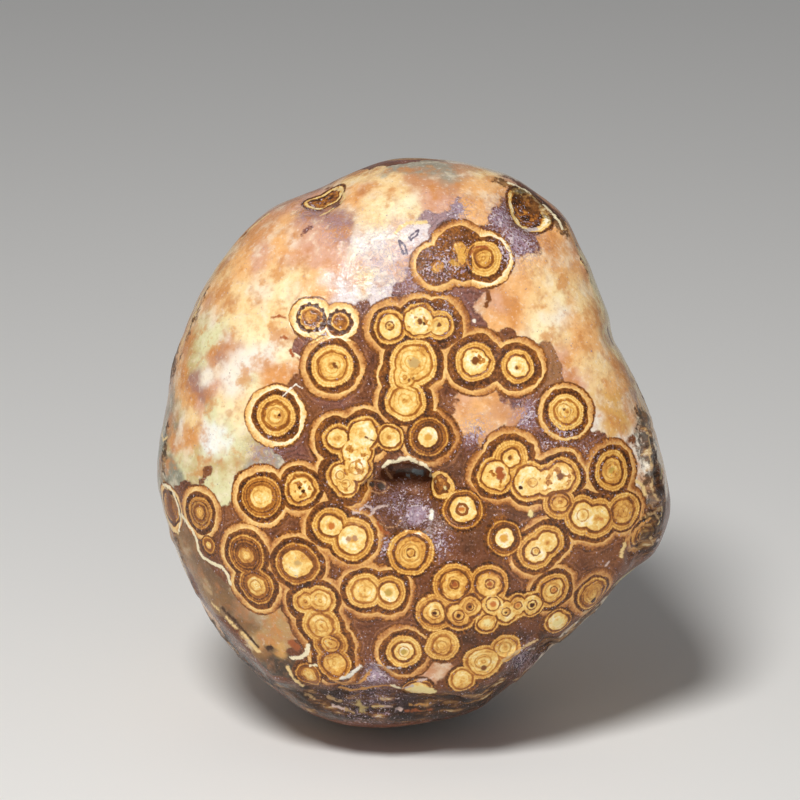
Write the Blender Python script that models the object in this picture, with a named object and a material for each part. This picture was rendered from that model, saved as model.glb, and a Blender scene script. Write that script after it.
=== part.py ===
# Eye agate pebble from the desert: one natural stone that stands on a small flat spot.
# The banded face leans back from upright. Shapes are set out in the face's own frame:
# x to the right, y into the stone and z up along the face, in millimetres.

import bpy
import bmesh
import math
import numpy as np
from mathutils import Matrix

mm = 0.001

# Driving dimensions, in millimetres and degrees
stoneDims = {
    "faceLean": 18.0,       # how far the banded face leans back from upright
    "frontDepth": 14.0,     # from the widest girth to the middle of the banded face
    "backDepth": 20.5,      # from the widest girth to the middle of the back
    "faceSquareness": 2.9,  # 2 is a round face, more is flatter with a tighter edge
    "backSquareness": 2.3,
    "cornerFade": 4,        # how quickly the girth's corners fade towards the middles
    "cornerReach": 35.0,    # degrees to each side over which they are evened out
    "girthWander": 1.6,     # how far the widest girth wanders forwards and back
    "girthWanderTurn": 130.0,   # degrees round the girth, where the wander changes side
    "girthBand": 3.0,       # half width of the band at the girth that swellings leave alone
    "faceBorder": 0.8,      # softness of the border between the face side and the back
    "pitSteepness": 1.5,    # 1 is a bowl, more gives steeper sides and a flatter floor
    "restAcross": -1.9,     # middle of the flat spot, from the middle of the leaning face
    "restBehind": 1.4,
    "restDrop": 25.6,
    "gridCells": 28,        # cells along each side of the starting cube
    "faceCrowding": 0.29,   # how much closer the cells are on the face than at the back
}

curveSteps = 12    # steps of the girth's curve from one of its points to the next
evenSteps = 15     # angles looked at when its corners are evened out

# Widest girth, seen square on to the face, clockwise from the top: (x, z)
girthPoints = [
    (-0.9, 24.6), (5.1, 24.1), (10.3, 22.0), (13.2, 19.4), (14.3, 17.0),
    (16.6, 12.3), (18.7, 6.8), (20.9, 1.4), (22.1, -3.1), (22.5, -6.2),
    (21.6, -8.7), (20.5, -10.8), (18.5, -12.5), (16.7, -14.9), (13.9, -17.2),
    (9.3, -21.2), (6.0, -23.4), (0.3, -24.8), (-3.8, -25.2), (-8.1, -24.2),
    (-13.5, -20.7), (-18.6, -14.2), (-21.3, -7.7), (-22.3, -2.6), (-21.6, 3.0),
    (-20.3, 8.6), (-17.5, 14.6), (-13.2, 19.6), (-9.8, 21.4), (-4.6, 23.6),
]

# Rounded swellings and hollows: centre (x, y, z), reach, height (below zero is a dent)
swellings = [
    (-12.0, -11.0, 7.0, 8.0, 0.5),     # pale shoulder on the upper left
    (0.0, -12.0, 15.0, 6.5, 0.5),      # brow under the top
    (11.0, -12.0, -1.0, 6.5, 0.5),     # cheek right of the hollow
    (-11.0, -12.0, -9.0, 6.0, 0.6),    # cheek at the lower left
    (7.0, -12.0, -14.0, 5.0, 0.5),     # clustered eyes above the lower edge
    (0.5, -14.0, -5.5, 5.5, -0.9),     # saucer around the hollow
    (4.0, -14.0, 8.0, 4.5, -0.3),      # shallow valley across the upper face
    (22.0, 1.0, -5.5, 4.0, 0.5),       # knob on the right side
    (7.0, 17.0, 9.0, 9.0, 1.4),        # back, upper right
    (-9.0, 16.0, -3.0, 9.0, 1.1),      # back, left
    (3.0, 21.0, -1.0, 6.0, -1.5),      # dimple in the back
    (-6.0, 16.0, 14.0, 6.0, -1.0),     # hollow in the back, upper left
    (12.0, 13.0, -10.0, 6.0, -1.1),    # hollow in the back, lower right
    (-20.0, 8.0, 6.0, 6.0, -0.9),      # flattened left flank
    (18.0, 8.0, 10.0, 6.0, -0.8),      # flattened right flank
    (-15.0, 8.0, -17.0, 6.0, 0.8),     # swelling behind the lower left edge
    (-2.0, 11.5, -22.5, 7.0, 1.7),     # heel that the flat spot is worn into
]

# Worn facets on the back: direction they face (x, y, z), distance from the middle
facets = [
    ((0.15, 0.86, 0.50), 21.2),
    ((-0.74, 0.66, 0.10), 19.8),
    ((0.66, 0.70, 0.26), 20.6),
    ((0.62, 0.72, -0.32), 20.2),
    ((-0.30, 0.84, -0.46), 22.0),
]
facetRounding = 1.6

# Pits on the face side: centre (x, z), half width, half height, turn, depth
pits = [
    (0.2, -2.9, 2.2, 1.2, -6.0, 1.5),   # the dark hollow under its crusty lip
    (0.0, -5.6, 3.0, 3.4, 0.0, 0.7),    # the sparkling bowl below it
    (-3.2, -3.9, 1.1, 0.7, 10.0, 0.4),  # small pits left of the hollow
    (10.0, 19.9, 1.9, 2.3, 25.0, 0.7),  # eye pit at the upper right
    (-7.6, 21.0, 1.9, 1.3, 20.0, 0.4),  # eye pit at the top left
    (17.4, 8.8, 0.9, 1.7, 25.0, 0.4),   # notch in the right edge
]

# Ridges and grooves on the face side: path of (x, z), half width, height
creases = [
    # lip over the hollow
    ([(-2.5, -2.5), (-1.4, -1.7), (0.0, -1.5), (1.4, -1.9), (2.2, -3.0)], 0.7, 0.35),
    # rim of the face along the lower right, then the undercut and the lip below it
    ([(6.5, -20.6), (8.6, -19.2), (11.4, -17.1), (14.6, -15.0), (16.9, -13.4), (18.6, -10.6)], 1.0, 0.5),
    ([(7.4, -21.6), (9.7, -20.0), (12.4, -17.9), (15.5, -15.7), (17.7, -13.3), (19.6, -10.9)], 1.0, -1.0),
    # ledges of crust along the bottom
    ([(-7.0, -20.6), (-3.0, -20.3), (1.5, -21.0), (5.0, -21.3)], 1.1, 0.45),
    ([(-10.5, -21.6), (-6.0, -22.2), (-1.0, -22.3), (4.0, -22.6)], 0.8, -0.55),
    ([(-10.0, -23.0), (-5.0, -23.9), (0.0, -23.8), (4.5, -23.6)], 0.9, 0.3),
    # raised cream ridge at the lower left, and the recess beyond it
    ([(-17.0, -14.6), (-15.4, -16.3), (-14.0, -17.7), (-12.6, -19.6), (-10.4, -20.9)], 0.8, 0.5),
    ([(-17.9, -15.2), (-16.2, -17.2), (-14.6, -18.9), (-12.9, -20.6)], 0.8, -0.5),
    # crust along the upper right edge
    ([(7.8, 22.6), (10.6, 21.3), (12.6, 19.2), (13.9, 16.6), (15.0, 14.6)], 0.8, 0.35),
    # upright ridges of crust on the knob
    ([(20.3, 1.0), (20.7, -2.0), (21.0, -5.0), (20.6, -7.4)], 0.7, 0.35),
    ([(20.9, -8.0), (20.0, -10.2), (18.8, -11.8)], 0.9, 0.3),
    # crusty left edge
    ([(-21.4, -0.5), (-21.6, -3.0), (-21.0, -6.5), (-20.0, -9.0)], 0.8, 0.3),
]


def clearScene():
    """Removes whatever the file holds before the stone is made."""
    for item in list(bpy.data.objects):
        bpy.data.objects.remove(item, do_unlink=True)


def closedCurve(points):
    """Smooth closed curve that passes through every point."""
    pts = np.array(points)
    steps = np.linspace(0.0, 1.0, curveSteps, endpoint=False)[:, None]
    stretches = []
    for i in range(len(pts)):
        before, start, end, after = (pts[(i + k) % len(pts)] for k in (-1, 0, 1, 2))
        leave = (end - before) / 2
        arrive = (after - start) / 2
        stretches.append(
            (2 * steps**3 - 3 * steps**2 + 1) * start
            + (steps**3 - 2 * steps**2 + steps) * leave
            + (3 * steps**2 - 2 * steps**3) * end
            + (steps**3 - steps**2) * arrive
        )
    return np.concatenate(stretches)


def girthRadius(turn, across):
    """Distance to the girth by angle: its corners show at the girth and fade towards the middle."""
    curve = closedCurve(girthPoints)
    angles = np.arctan2(curve[:, 1], curve[:, 0])
    radii = np.hypot(curve[:, 0], curve[:, 1])
    order = np.argsort(angles)

    def radiusAt(angle):
        return np.interp(angle, angles[order], radii[order], period=2 * math.pi)

    reach = math.radians(stoneDims["cornerReach"])
    window = np.linspace(-reach, reach, evenSteps)
    even = np.mean([radiusAt(turn + offset) for offset in window], axis=0)
    return even + (radiusAt(turn) - even) * across ** stoneDims["cornerFade"]


def ballGrid(cells):
    """Cube cut into even square cells and blown up to a ball of radius 1."""
    bm = bmesh.new()
    bmesh.ops.create_cube(bm, size=2.0)
    bmesh.ops.subdivide_edges(bm, edges=bm.edges[:], cuts=cells - 1, use_grid_fill=True)
    for vert in bm.verts:
        evened = [math.tan(value * math.pi / 4) for value in vert.co]
        length = math.sqrt(sum(value * value for value in evened))
        vert.co = [value / length for value in evened]
    return bm


def baseForm(ball):
    """Pebble form and its outward directions in the face frame, from points of the ball."""
    dims = stoneDims
    turn = np.arctan2(ball[:, 2], ball[:, 0])
    fromFace = np.arccos(np.clip(-ball[:, 1], -1.0, 1.0))
    fromFace = fromFace - dims["faceCrowding"] * np.sin(fromFace)
    across = np.sin(fromFace)
    into = -np.cos(fromFace)

    facing = into < 0
    power = np.where(facing, dims["faceSquareness"], dims["backSquareness"])
    depth = np.where(facing, dims["frontDepth"], dims["backDepth"])
    size = (np.abs(across) ** power + np.abs(into) ** power) ** (-1 / power)
    across = across * size
    into = into * size

    radius = girthRadius(turn, across)
    wander = dims["girthWander"] * np.sin(turn - math.radians(dims["girthWanderTurn"])) * across**2
    places = [across * radius * np.cos(turn), into * depth + wander, across * radius * np.sin(turn)]
    form = np.stack(places, axis=1)
    slope = np.abs(across) ** (power - 1) / radius
    rise = np.sign(into) * np.abs(into) ** (power - 1) / depth
    outward = np.stack([slope * np.cos(turn), rise, slope * np.sin(turn)], axis=1)
    outward /= np.linalg.norm(outward, axis=1)[:, None]
    return form, outward


def distanceToPath(path, x, z):
    """Distance from each point to the nearest stretch of a path, seen square on to the face."""
    nearest = np.full(len(x), np.inf)
    for (ax, az), (bx, bz) in zip(path[:-1], path[1:]):
        length2 = (bx - ax) ** 2 + (bz - az) ** 2
        along = np.clip(((x - ax) * (bx - ax) + (z - az) * (bz - az)) / length2, 0.0, 1.0)
        nearest = np.minimum(nearest, np.hypot(x - ax - along * (bx - ax), z - az - along * (bz - az)))
    return nearest


def relief(form):
    """Height of swellings, pits and creases at each point of the form."""
    x, y, z = form.T
    height = np.zeros(len(x))
    for cx, cy, cz, reach, rise in swellings:
        gap2 = (x - cx) ** 2 + (y - cy) ** 2 + (z - cz) ** 2
        height += rise * np.exp(-gap2 / reach**2)
    height *= 1 - np.exp(-((y / stoneDims["girthBand"]) ** 2))

    onFace = 1 / (1 + np.exp(y / stoneDims["faceBorder"]))
    for cx, cz, halfWidth, halfHeight, turn, depth in pits:
        angle = math.radians(turn)
        side = ((x - cx) * math.cos(angle) + (z - cz) * math.sin(angle)) / halfWidth
        up = ((z - cz) * math.cos(angle) - (x - cx) * math.sin(angle)) / halfHeight
        height -= depth * np.exp(-((side**2 + up**2) ** stoneDims["pitSteepness"])) * onFace
    for path, halfWidth, rise in creases:
        height += rise * np.exp(-((distanceToPath(path, x, z) / halfWidth) ** 2)) * onFace
    return height


def wearFacets(form):
    """Flattens what stands beyond each facet, with rounded borders."""
    for facing, distance in facets:
        facing = np.array(facing) / np.linalg.norm(facing)
        beyond = form @ facing - distance
        kept = -facetRounding * np.log1p(np.exp(-beyond / facetRounding))
        form = form + facing * (kept - beyond)[:, None]
    return form


def restOnFlat(bm):
    """Leans the stone back, cuts the flat spot and puts its middle at the origin."""
    dims = stoneDims
    lean = Matrix.Rotation(math.radians(-dims["faceLean"]), 4, "X")
    bmesh.ops.transform(bm, matrix=lean, verts=bm.verts[:])
    level = -dims["restDrop"] * mm
    cut = bmesh.ops.bisect_plane(
        bm, geom=bm.verts[:] + bm.edges[:] + bm.faces[:],
        plane_co=(0, 0, level), plane_no=(0, 0, -1), clear_outer=True)
    rim = [item for item in cut["geom_cut"] if isinstance(item, bmesh.types.BMEdge)]
    bmesh.ops.edgeloop_fill(bm, edges=rim)
    toOrigin = (-dims["restAcross"] * mm, -dims["restBehind"] * mm, -level)
    bmesh.ops.translate(bm, vec=toOrigin, verts=bm.verts[:])


def agateMaterial():
    """Plain warm brown stone with a waxy gloss."""
    material = bpy.data.materials.new("agate")
    material.use_nodes = True
    shader = material.node_tree.nodes["Principled BSDF"]
    shader.inputs["Base Color"].default_value = (0.46, 0.27, 0.12, 1.0)
    shader.inputs["Roughness"].default_value = 0.35
    shader.inputs["Metallic"].default_value = 0.0
    return material


def makeAgate(collection):
    """The whole stone as one closed solid."""
    bm = ballGrid(stoneDims["gridCells"])
    ball = np.array([vert.co for vert in bm.verts])
    form, outward = baseForm(ball)
    form = wearFacets(form + outward * relief(form)[:, None])
    for vert, place in zip(bm.verts, form * mm):
        vert.co = place
    restOnFlat(bm)
    bmesh.ops.recalc_face_normals(bm, faces=bm.faces[:])

    mesh = bpy.data.meshes.new("agate")
    bm.to_mesh(mesh)
    bm.free()
    mesh.shade_smooth()
    mesh.materials.append(agateMaterial())
    stone = bpy.data.objects.new("agate", mesh)
    collection.objects.link(stone)
    return stone


clearScene()
stoneCollection = bpy.data.collections.new("gobi_agate")
bpy.context.scene.collection.children.link(stoneCollection)
makeAgate(stoneCollection)
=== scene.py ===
# Gobi eye agate: the look of the stone, a pale floor, soft studio light and the camera.
import bpy
import bmesh
import math
import random
import numpy as np
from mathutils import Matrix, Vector, noise
from mathutils.bvhtree import BVHTree


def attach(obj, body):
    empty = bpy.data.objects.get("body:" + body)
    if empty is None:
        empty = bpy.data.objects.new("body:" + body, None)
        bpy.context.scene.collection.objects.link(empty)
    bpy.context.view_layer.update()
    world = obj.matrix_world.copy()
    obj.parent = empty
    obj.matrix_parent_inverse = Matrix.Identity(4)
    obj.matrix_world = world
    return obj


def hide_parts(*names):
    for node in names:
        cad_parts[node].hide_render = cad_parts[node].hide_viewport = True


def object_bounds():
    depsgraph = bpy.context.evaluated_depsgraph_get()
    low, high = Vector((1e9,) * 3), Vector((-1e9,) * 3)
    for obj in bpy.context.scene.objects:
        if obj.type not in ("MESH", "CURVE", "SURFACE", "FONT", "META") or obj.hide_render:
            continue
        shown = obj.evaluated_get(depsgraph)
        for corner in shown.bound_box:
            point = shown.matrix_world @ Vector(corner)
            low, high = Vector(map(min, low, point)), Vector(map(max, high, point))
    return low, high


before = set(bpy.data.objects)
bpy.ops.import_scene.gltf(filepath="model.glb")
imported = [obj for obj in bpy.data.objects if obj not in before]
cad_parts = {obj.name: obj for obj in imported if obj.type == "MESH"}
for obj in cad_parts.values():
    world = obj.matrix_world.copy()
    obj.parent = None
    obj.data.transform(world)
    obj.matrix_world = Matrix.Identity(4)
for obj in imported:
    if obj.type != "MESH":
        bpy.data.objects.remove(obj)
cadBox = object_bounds()
mm = 0.001

# The banded face leans back, and the camera looks square on to it.
# Places on it are in mm: x to the right, y into the stone, z up along the face.
faceView = {
    "lean": math.radians(18),
    "middle": (1.9, -1.4, 25.6),   # middle of the leaning face in the stone's own frame, mm
    "distance": 400.0,             # camera to the face's middle plane, mm
    "aim": (-1.05, 3.5),           # what the camera looks at
    "width": 70.2,                 # width of the picture at that plane
}


# x, y, z of the face frame as places in the stone's frame, mm
def leanBack(points):
    points = np.asarray(points, float)
    c, s = math.cos(faceView["lean"]), math.sin(faceView["lean"])
    x, y, z = points.T
    return np.stack([x, y * c + z * s, z * c - y * s], axis=1) + faceView["middle"]


# The other way round: places in the stone's frame as x, y, z of the face frame
def standUp(points):
    q = np.asarray(points, float) - faceView["middle"]
    c, s = math.cos(faceView["lean"]), math.sin(faceView["lean"])
    return np.stack([q[:, 0], q[:, 1] * c - q[:, 2] * s, q[:, 1] * s + q[:, 2] * c], axis=1)


cameraSpot = leanBack([(faceView["aim"][0], -faceView["distance"], faceView["aim"][1])])[0]
stoneMiddle = Vector((0.0, 0.0, 25.0))   # mm
clearOfStone = 60.0                      # mm from the middle, well outside the stone


# sRGB hex as linear RGBA
def hexColour(code):
    parts = [int(code[i:i + 2], 16) / 255 for i in (0, 2, 4)]
    return tuple(p / 12.92 if p <= 0.04045 else ((p + 0.055) / 1.055) ** 2.4 for p in parts) + (1.0,)


# Dense stone: the CAD faces merged back to quads, rounded and then worn in code
stoneSurface = {
    "mergeWithin": 0.000002,  # m
    "joinBelow": math.radians(60),
    "rounding": 2,
    "crustGrain": 1.0,        # mm, size of the crust's lumps
    "crustHeight": 0.20,
    "waviness": 0.05,         # mm, slow unevenness of the polished face
    "wavinessSize": 2.6,
    "dimples": 0.030,         # mm, small unevenness that breaks up the gloss
    "dimpleSize": 0.9,
    "ragged": 0.8,            # mm, wander of the crust's edges
    "raggedSize": 1.5,
    "faceDepth": 1.0,         # mm behind the face's middle plane, where its relief fades out
    "flatBelow": 0.15,        # mm, the spot that the stone stands on stays flat
    "spread": 1.5,            # foot of a bump or a pit, in reaches
    "lumpSpread": 1.6,
}
pathStep = 0.6                # mm between the places looked up along a path

# Crusty stretches of the face: path of (x, z), reach, share of the crust height
crustPaths = [
    ([(-18.0, 13.0), (-19.3, 10.0), (-20.2, 7.5)], 0.7, 0.7),
    ([(-12.8, 19.6), (-14.6, 18.2), (-15.4, 17.4)], 0.7, 0.6),
    ([(-21.4, 1.0), (-21.8, -3.0), (-21.4, -5.0)], 0.9, 0.8),
    ([(-20.6, -8.8), (-19.3, -12.5), (-18.2, -14.8)], 0.5, 0.7),
    ([(-18.3, -14.6), (-16.6, -17.0), (-14.8, -19.2), (-13.0, -20.8), (-9.4, -22.8)], 1.2, 1.1),
    ([(-9.0, -22.8), (-5.0, -23.2), (0.0, -23.7), (6.0, -22.6)], 2.3, 1.3),
    ([(6.5, -22.0), (8.2, -20.6), (10.5, -19.0), (12.8, -17.6)], 1.6, 1.2),
    ([(13.8, -16.9), (15.3, -15.4), (17.0, -14.3), (18.4, -12.6)], 1.2, 1.0),
    ([(20.6, 1.5), (21.3, -2.0), (21.7, -5.0), (20.8, -9.4)], 2.0, 1.1),
    ([(8.0, 22.6), (10.4, 21.2), (12.2, 19.8), (13.2, 18.5)], 1.1, 0.9),
    ([(14.6, 16.2), (15.8, 13.6)], 0.6, 0.6),
]

# Hollow, pits and ledges of the face: path of (x, z), reach, height (below 0: sunk)
reliefs = [
    # hollow with its crusty rim
    ([(-2.45, -2.4), (-2.0, -1.98), (-1.05, -1.7), (-0.25, -1.57), (0.4, -1.9), (1.1, -2.2),
      (1.65, -3.0)], 0.34, 0.32),
    ([(-1.9, -2.95), (-0.6, -2.75), (1.0, -3.05)], 0.62, -1.0),
    ([(-1.2, -3.6), (0.5, -3.9)], 1.3, -0.55),
    ([(-2.2, -4.4), (0.6, -5.2), (-1.4, -6.0)], 2.0, -0.30),
    ([(-1.8, -8.4), (1.8, -8.4)], 1.7, 0.26),
    # pits beside it, under it and at the edges
    ([(-3.65, -3.85), (-3.5, -3.95)], 0.42, -0.45),
    ([(-2.85, -4.1), (-2.6, -4.15)], 0.52, -0.50),
    ([(-2.5, -9.2), (-2.3, -9.4)], 0.45, -0.25),
    ([(0.6, -6.2), (0.5, -7.4)], 0.6, -0.25),
    ([(9.9, 20.2), (10.3, 19.6)], 1.5, -0.55),
    ([(-8.1, 20.8), (-6.9, 21.4)], 0.9, -0.35),
    ([(17.2, 9.5), (17.5, 8.5)], 0.6, -0.12),
    ([(-21.3, -5.0), (-20.8, -7.0)], 0.8, -0.30),
    # undercut with crusty lips at the lower right
    ([(9.4, -19.6), (10.8, -18.9), (12.1, -18.0)], 0.75, -0.75),
    ([(8.0, -19.3), (9.2, -18.6), (10.4, -17.8), (11.1, -17.5)], 0.35, 0.30),
    ([(9.0, -21.0), (10.2, -20.0), (11.6, -19.1), (12.8, -18.4)], 0.38, 0.30),
    # ledges at the foot
    ([(-6.9, -20.9), (-5.4, -20.4), (-5.1, -20.0), (-3.9, -19.65)], 0.40, 0.26),
    ([(-3.3, -19.5), (-2.5, -19.9), (-0.9, -20.0)], 0.36, 0.24),
    ([(-3.6, -20.4), (-2.6, -20.8)], 0.9, -0.45),
    ([(-6.5, -21.9), (-3.0, -22.0), (0.6, -22.8), (4.0, -22.9)], 0.50, -0.45),
    ([(-7.0, -23.2), (-4.0, -23.7), (0.0, -23.5), (3.0, -23.8)], 0.45, -0.40),
    ([(-10.0, -20.2), (-10.2, -20.9), (-9.4, -21.6)], 0.35, 0.22),
    # grooves down the knob at the right
    ([(20.9, 1.0), (21.4, -1.5), (21.6, -4.0)], 0.40, -0.40),
    ([(20.3, 1.0), (20.8, -2.0), (20.9, -4.0), (21.5, -5.3)], 0.34, 0.26),
    ([(18.4, -9.4), (18.5, -10.4)], 0.5, 0.25),
    ([(19.2, -10.2), (20.4, -9.2)], 0.6, -0.45),
]

# Pits and crusty lumps of the other sides, scattered from a fixed seed
farRelief = {
    "seed": 11,
    "count": 60,
    "grazing": 0.1,
    "reach": (0.5, 1.6),
    "depth": (-0.5, 0.15),
    "lumpShare": 0.35,
}


def distanceToPath(path, x, z):
    nearest = np.full(len(x), 1e9)
    for (ax, az), (bx, bz) in zip(path[:-1], path[1:]):
        length2 = (bx - ax) ** 2 + (bz - az) ** 2
        along = np.clip(((x - ax) * (bx - ax) + (z - az) * (bz - az)) / length2, 0.0, 1.0)
        nearest = np.minimum(nearest, np.hypot(x - ax - along * (bx - ax), z - az - along * (bz - az)))
    return nearest


# Smooth noise from -1 to 1 at each point, with lumps of that size
def grain(points, size):
    return np.array([noise.noise(Vector(p) / size) for p in points])


def denseStone():
    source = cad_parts["agate"].data
    bm = bmesh.new()
    bm.from_mesh(source)
    bmesh.ops.remove_doubles(bm, verts=bm.verts[:], dist=stoneSurface["mergeWithin"])
    bmesh.ops.join_triangles(
        bm, faces=bm.faces[:], angle_face_threshold=stoneSurface["joinBelow"],
        angle_shape_threshold=stoneSurface["joinBelow"])
    mesh = bpy.data.meshes.new("agate_stone")
    bm.to_mesh(mesh)
    bm.free()
    stone = bpy.data.objects.new("agate_stone", mesh)
    bpy.context.scene.collection.objects.link(stone)
    rounding = stone.modifiers.new("rounding", "SUBSURF")
    rounding.levels = stoneSurface["rounding"]
    rounding.render_levels = stoneSurface["rounding"]
    rounded = bpy.data.meshes.new_from_object(stone.evaluated_get(bpy.context.evaluated_depsgraph_get()))
    stone.modifiers.clear()
    stone.data = rounded
    rounded.name = "agate_stone"
    return stone


# One vector of each vertex or face, such as its place, as rows
def readRows(items, field):
    flat = np.zeros(len(items) * 3, np.float32)
    items.foreach_get(field, flat)
    return flat.reshape(-1, 3).astype(float)


def places(mesh):
    return readRows(mesh.vertices, "co") / mm


# Where the camera sees each point, as x and z on the face's middle plane, and its depth behind it
def seenAt(points):
    x, y, z = standUp(points).T
    nearer = faceView["distance"] / (faceView["distance"] + y)
    ax, az = faceView["aim"]
    return ax + (x - ax) * nearer, az + (z - az) * nearer, y


# Place on the stone below an outside point, looking towards the stone's middle, and the normal there
def castIn(outside):
    way = (stoneMiddle - Vector(outside)).normalized()
    return surface.ray_cast(Vector(outside), way)[:2]


# Scattered places that the camera sees at a grazing angle or not at all
def farPoints(count, rng, grazing):
    found = []
    while len(found) < count:
        way = np.array([rng.gauss(0, 1) for i in range(3)])
        way /= np.linalg.norm(way)
        hit, normal = castIn(np.array(stoneMiddle) + clearOfStone * way)
        if hit is not None and normal.dot((Vector(cameraSpot) - hit).normalized()) < grazing:
            found.append(hit)
    return found


# Place on the stone that the camera sees at x, z of the face plane, and how square on it is
def onStone(x, z):
    through = leanBack([(x, 0.0, z)])[0]
    way = Vector(through - cameraSpot).normalized()
    hit, normal, face, gap = surface.ray_cast(Vector(cameraSpot), way)
    return hit, (abs(normal.dot(way)) if hit else 0.0)


# Gap of each vertex to a path that the camera sees on the stone
def gapOnStone(path, spots):
    gap = np.full(len(spots), 1e9)
    for (ax, az), (bx, bz) in zip(path[:-1], path[1:]):
        steps = max(1, round(math.hypot(bx - ax, bz - az) / pathStep))
        for share in np.linspace(0, 1, steps + 1):
            hit, squareness = onStone(ax + share * (bx - ax), az + share * (bz - az))
            if hit is not None:
                gap = np.minimum(gap, np.linalg.norm(spots - np.array(hit), axis=1))
    return gap


# 1 on a place, falling smoothly to 0 at the end of its foot
def hump(gap, reach):
    near = np.clip(1 - gap / (stoneSurface["spread"] * reach), 0, 1)
    return near * near * (3 - 2 * near)


# Moves the vertices by the relief, and gives back how crusty each of them is
def wear(stone):
    mesh = stone.data
    spots = places(mesh)
    normals = readRows(mesh.vertices, "normal")
    x, z, y = seenAt(spots)
    onFace = 1 / (1 + np.exp(y - stoneSurface["faceDepth"]))
    crust = np.zeros(len(x))
    ragged = stoneSurface["ragged"] * grain(spots, stoneSurface["raggedSize"])
    for path, reach, share in crustPaths:
        crust = np.maximum(crust, share * np.exp(-(((gapOnStone(path, spots) + ragged) / reach) ** 2)))
    height = np.zeros(len(x))
    for path, reach, rise in reliefs:
        height += rise * hump(distanceToPath(path, x, z), reach) * onFace
    rng = random.Random(farRelief["seed"])
    for spot in farPoints(farRelief["count"], rng, farRelief["grazing"]):
        gap = np.linalg.norm(spots - np.array(spot), axis=1)
        reach = rng.uniform(*farRelief["reach"])
        if rng.random() < farRelief["lumpShare"]:
            lump = np.exp(-(((gap + ragged) / (stoneSurface["lumpSpread"] * reach)) ** 2))
            crust = np.maximum(crust, lump)
        else:
            height += rng.uniform(*farRelief["depth"]) * hump(gap, reach)
    lumps = 1 - 2 * np.abs(grain(spots, stoneSurface["crustGrain"]))
    height += crust * stoneSurface["crustHeight"] * lumps
    height += stoneSurface["waviness"] * grain(spots, stoneSurface["wavinessSize"])
    height += stoneSurface["dimples"] * grain(spots, stoneSurface["dimpleSize"])
    rest = np.clip(spots[:, 2] - stoneSurface["flatBelow"], 0, 1)
    spots = spots + normals * (height * rest)[:, None]
    low, high = (np.array(corner) / mm for corner in cadBox)
    spots = np.clip(spots, low, high)
    mesh.vertices.foreach_set("co", (spots * mm).astype(np.float32).ravel())
    mesh.update()
    return crust


def surfaceTree(mesh):
    return BVHTree.FromPolygons(
        [tuple(p) for p in places(mesh)], [tuple(f.vertices) for f in mesh.polygons])


stone = denseStone()
surface = surfaceTree(stone.data)
crustShare = wear(stone)
stone.data.shade_smooth()
surface = surfaceTree(stone.data)
print("stone meshed:", len(stone.data.polygons), "faces")


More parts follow.
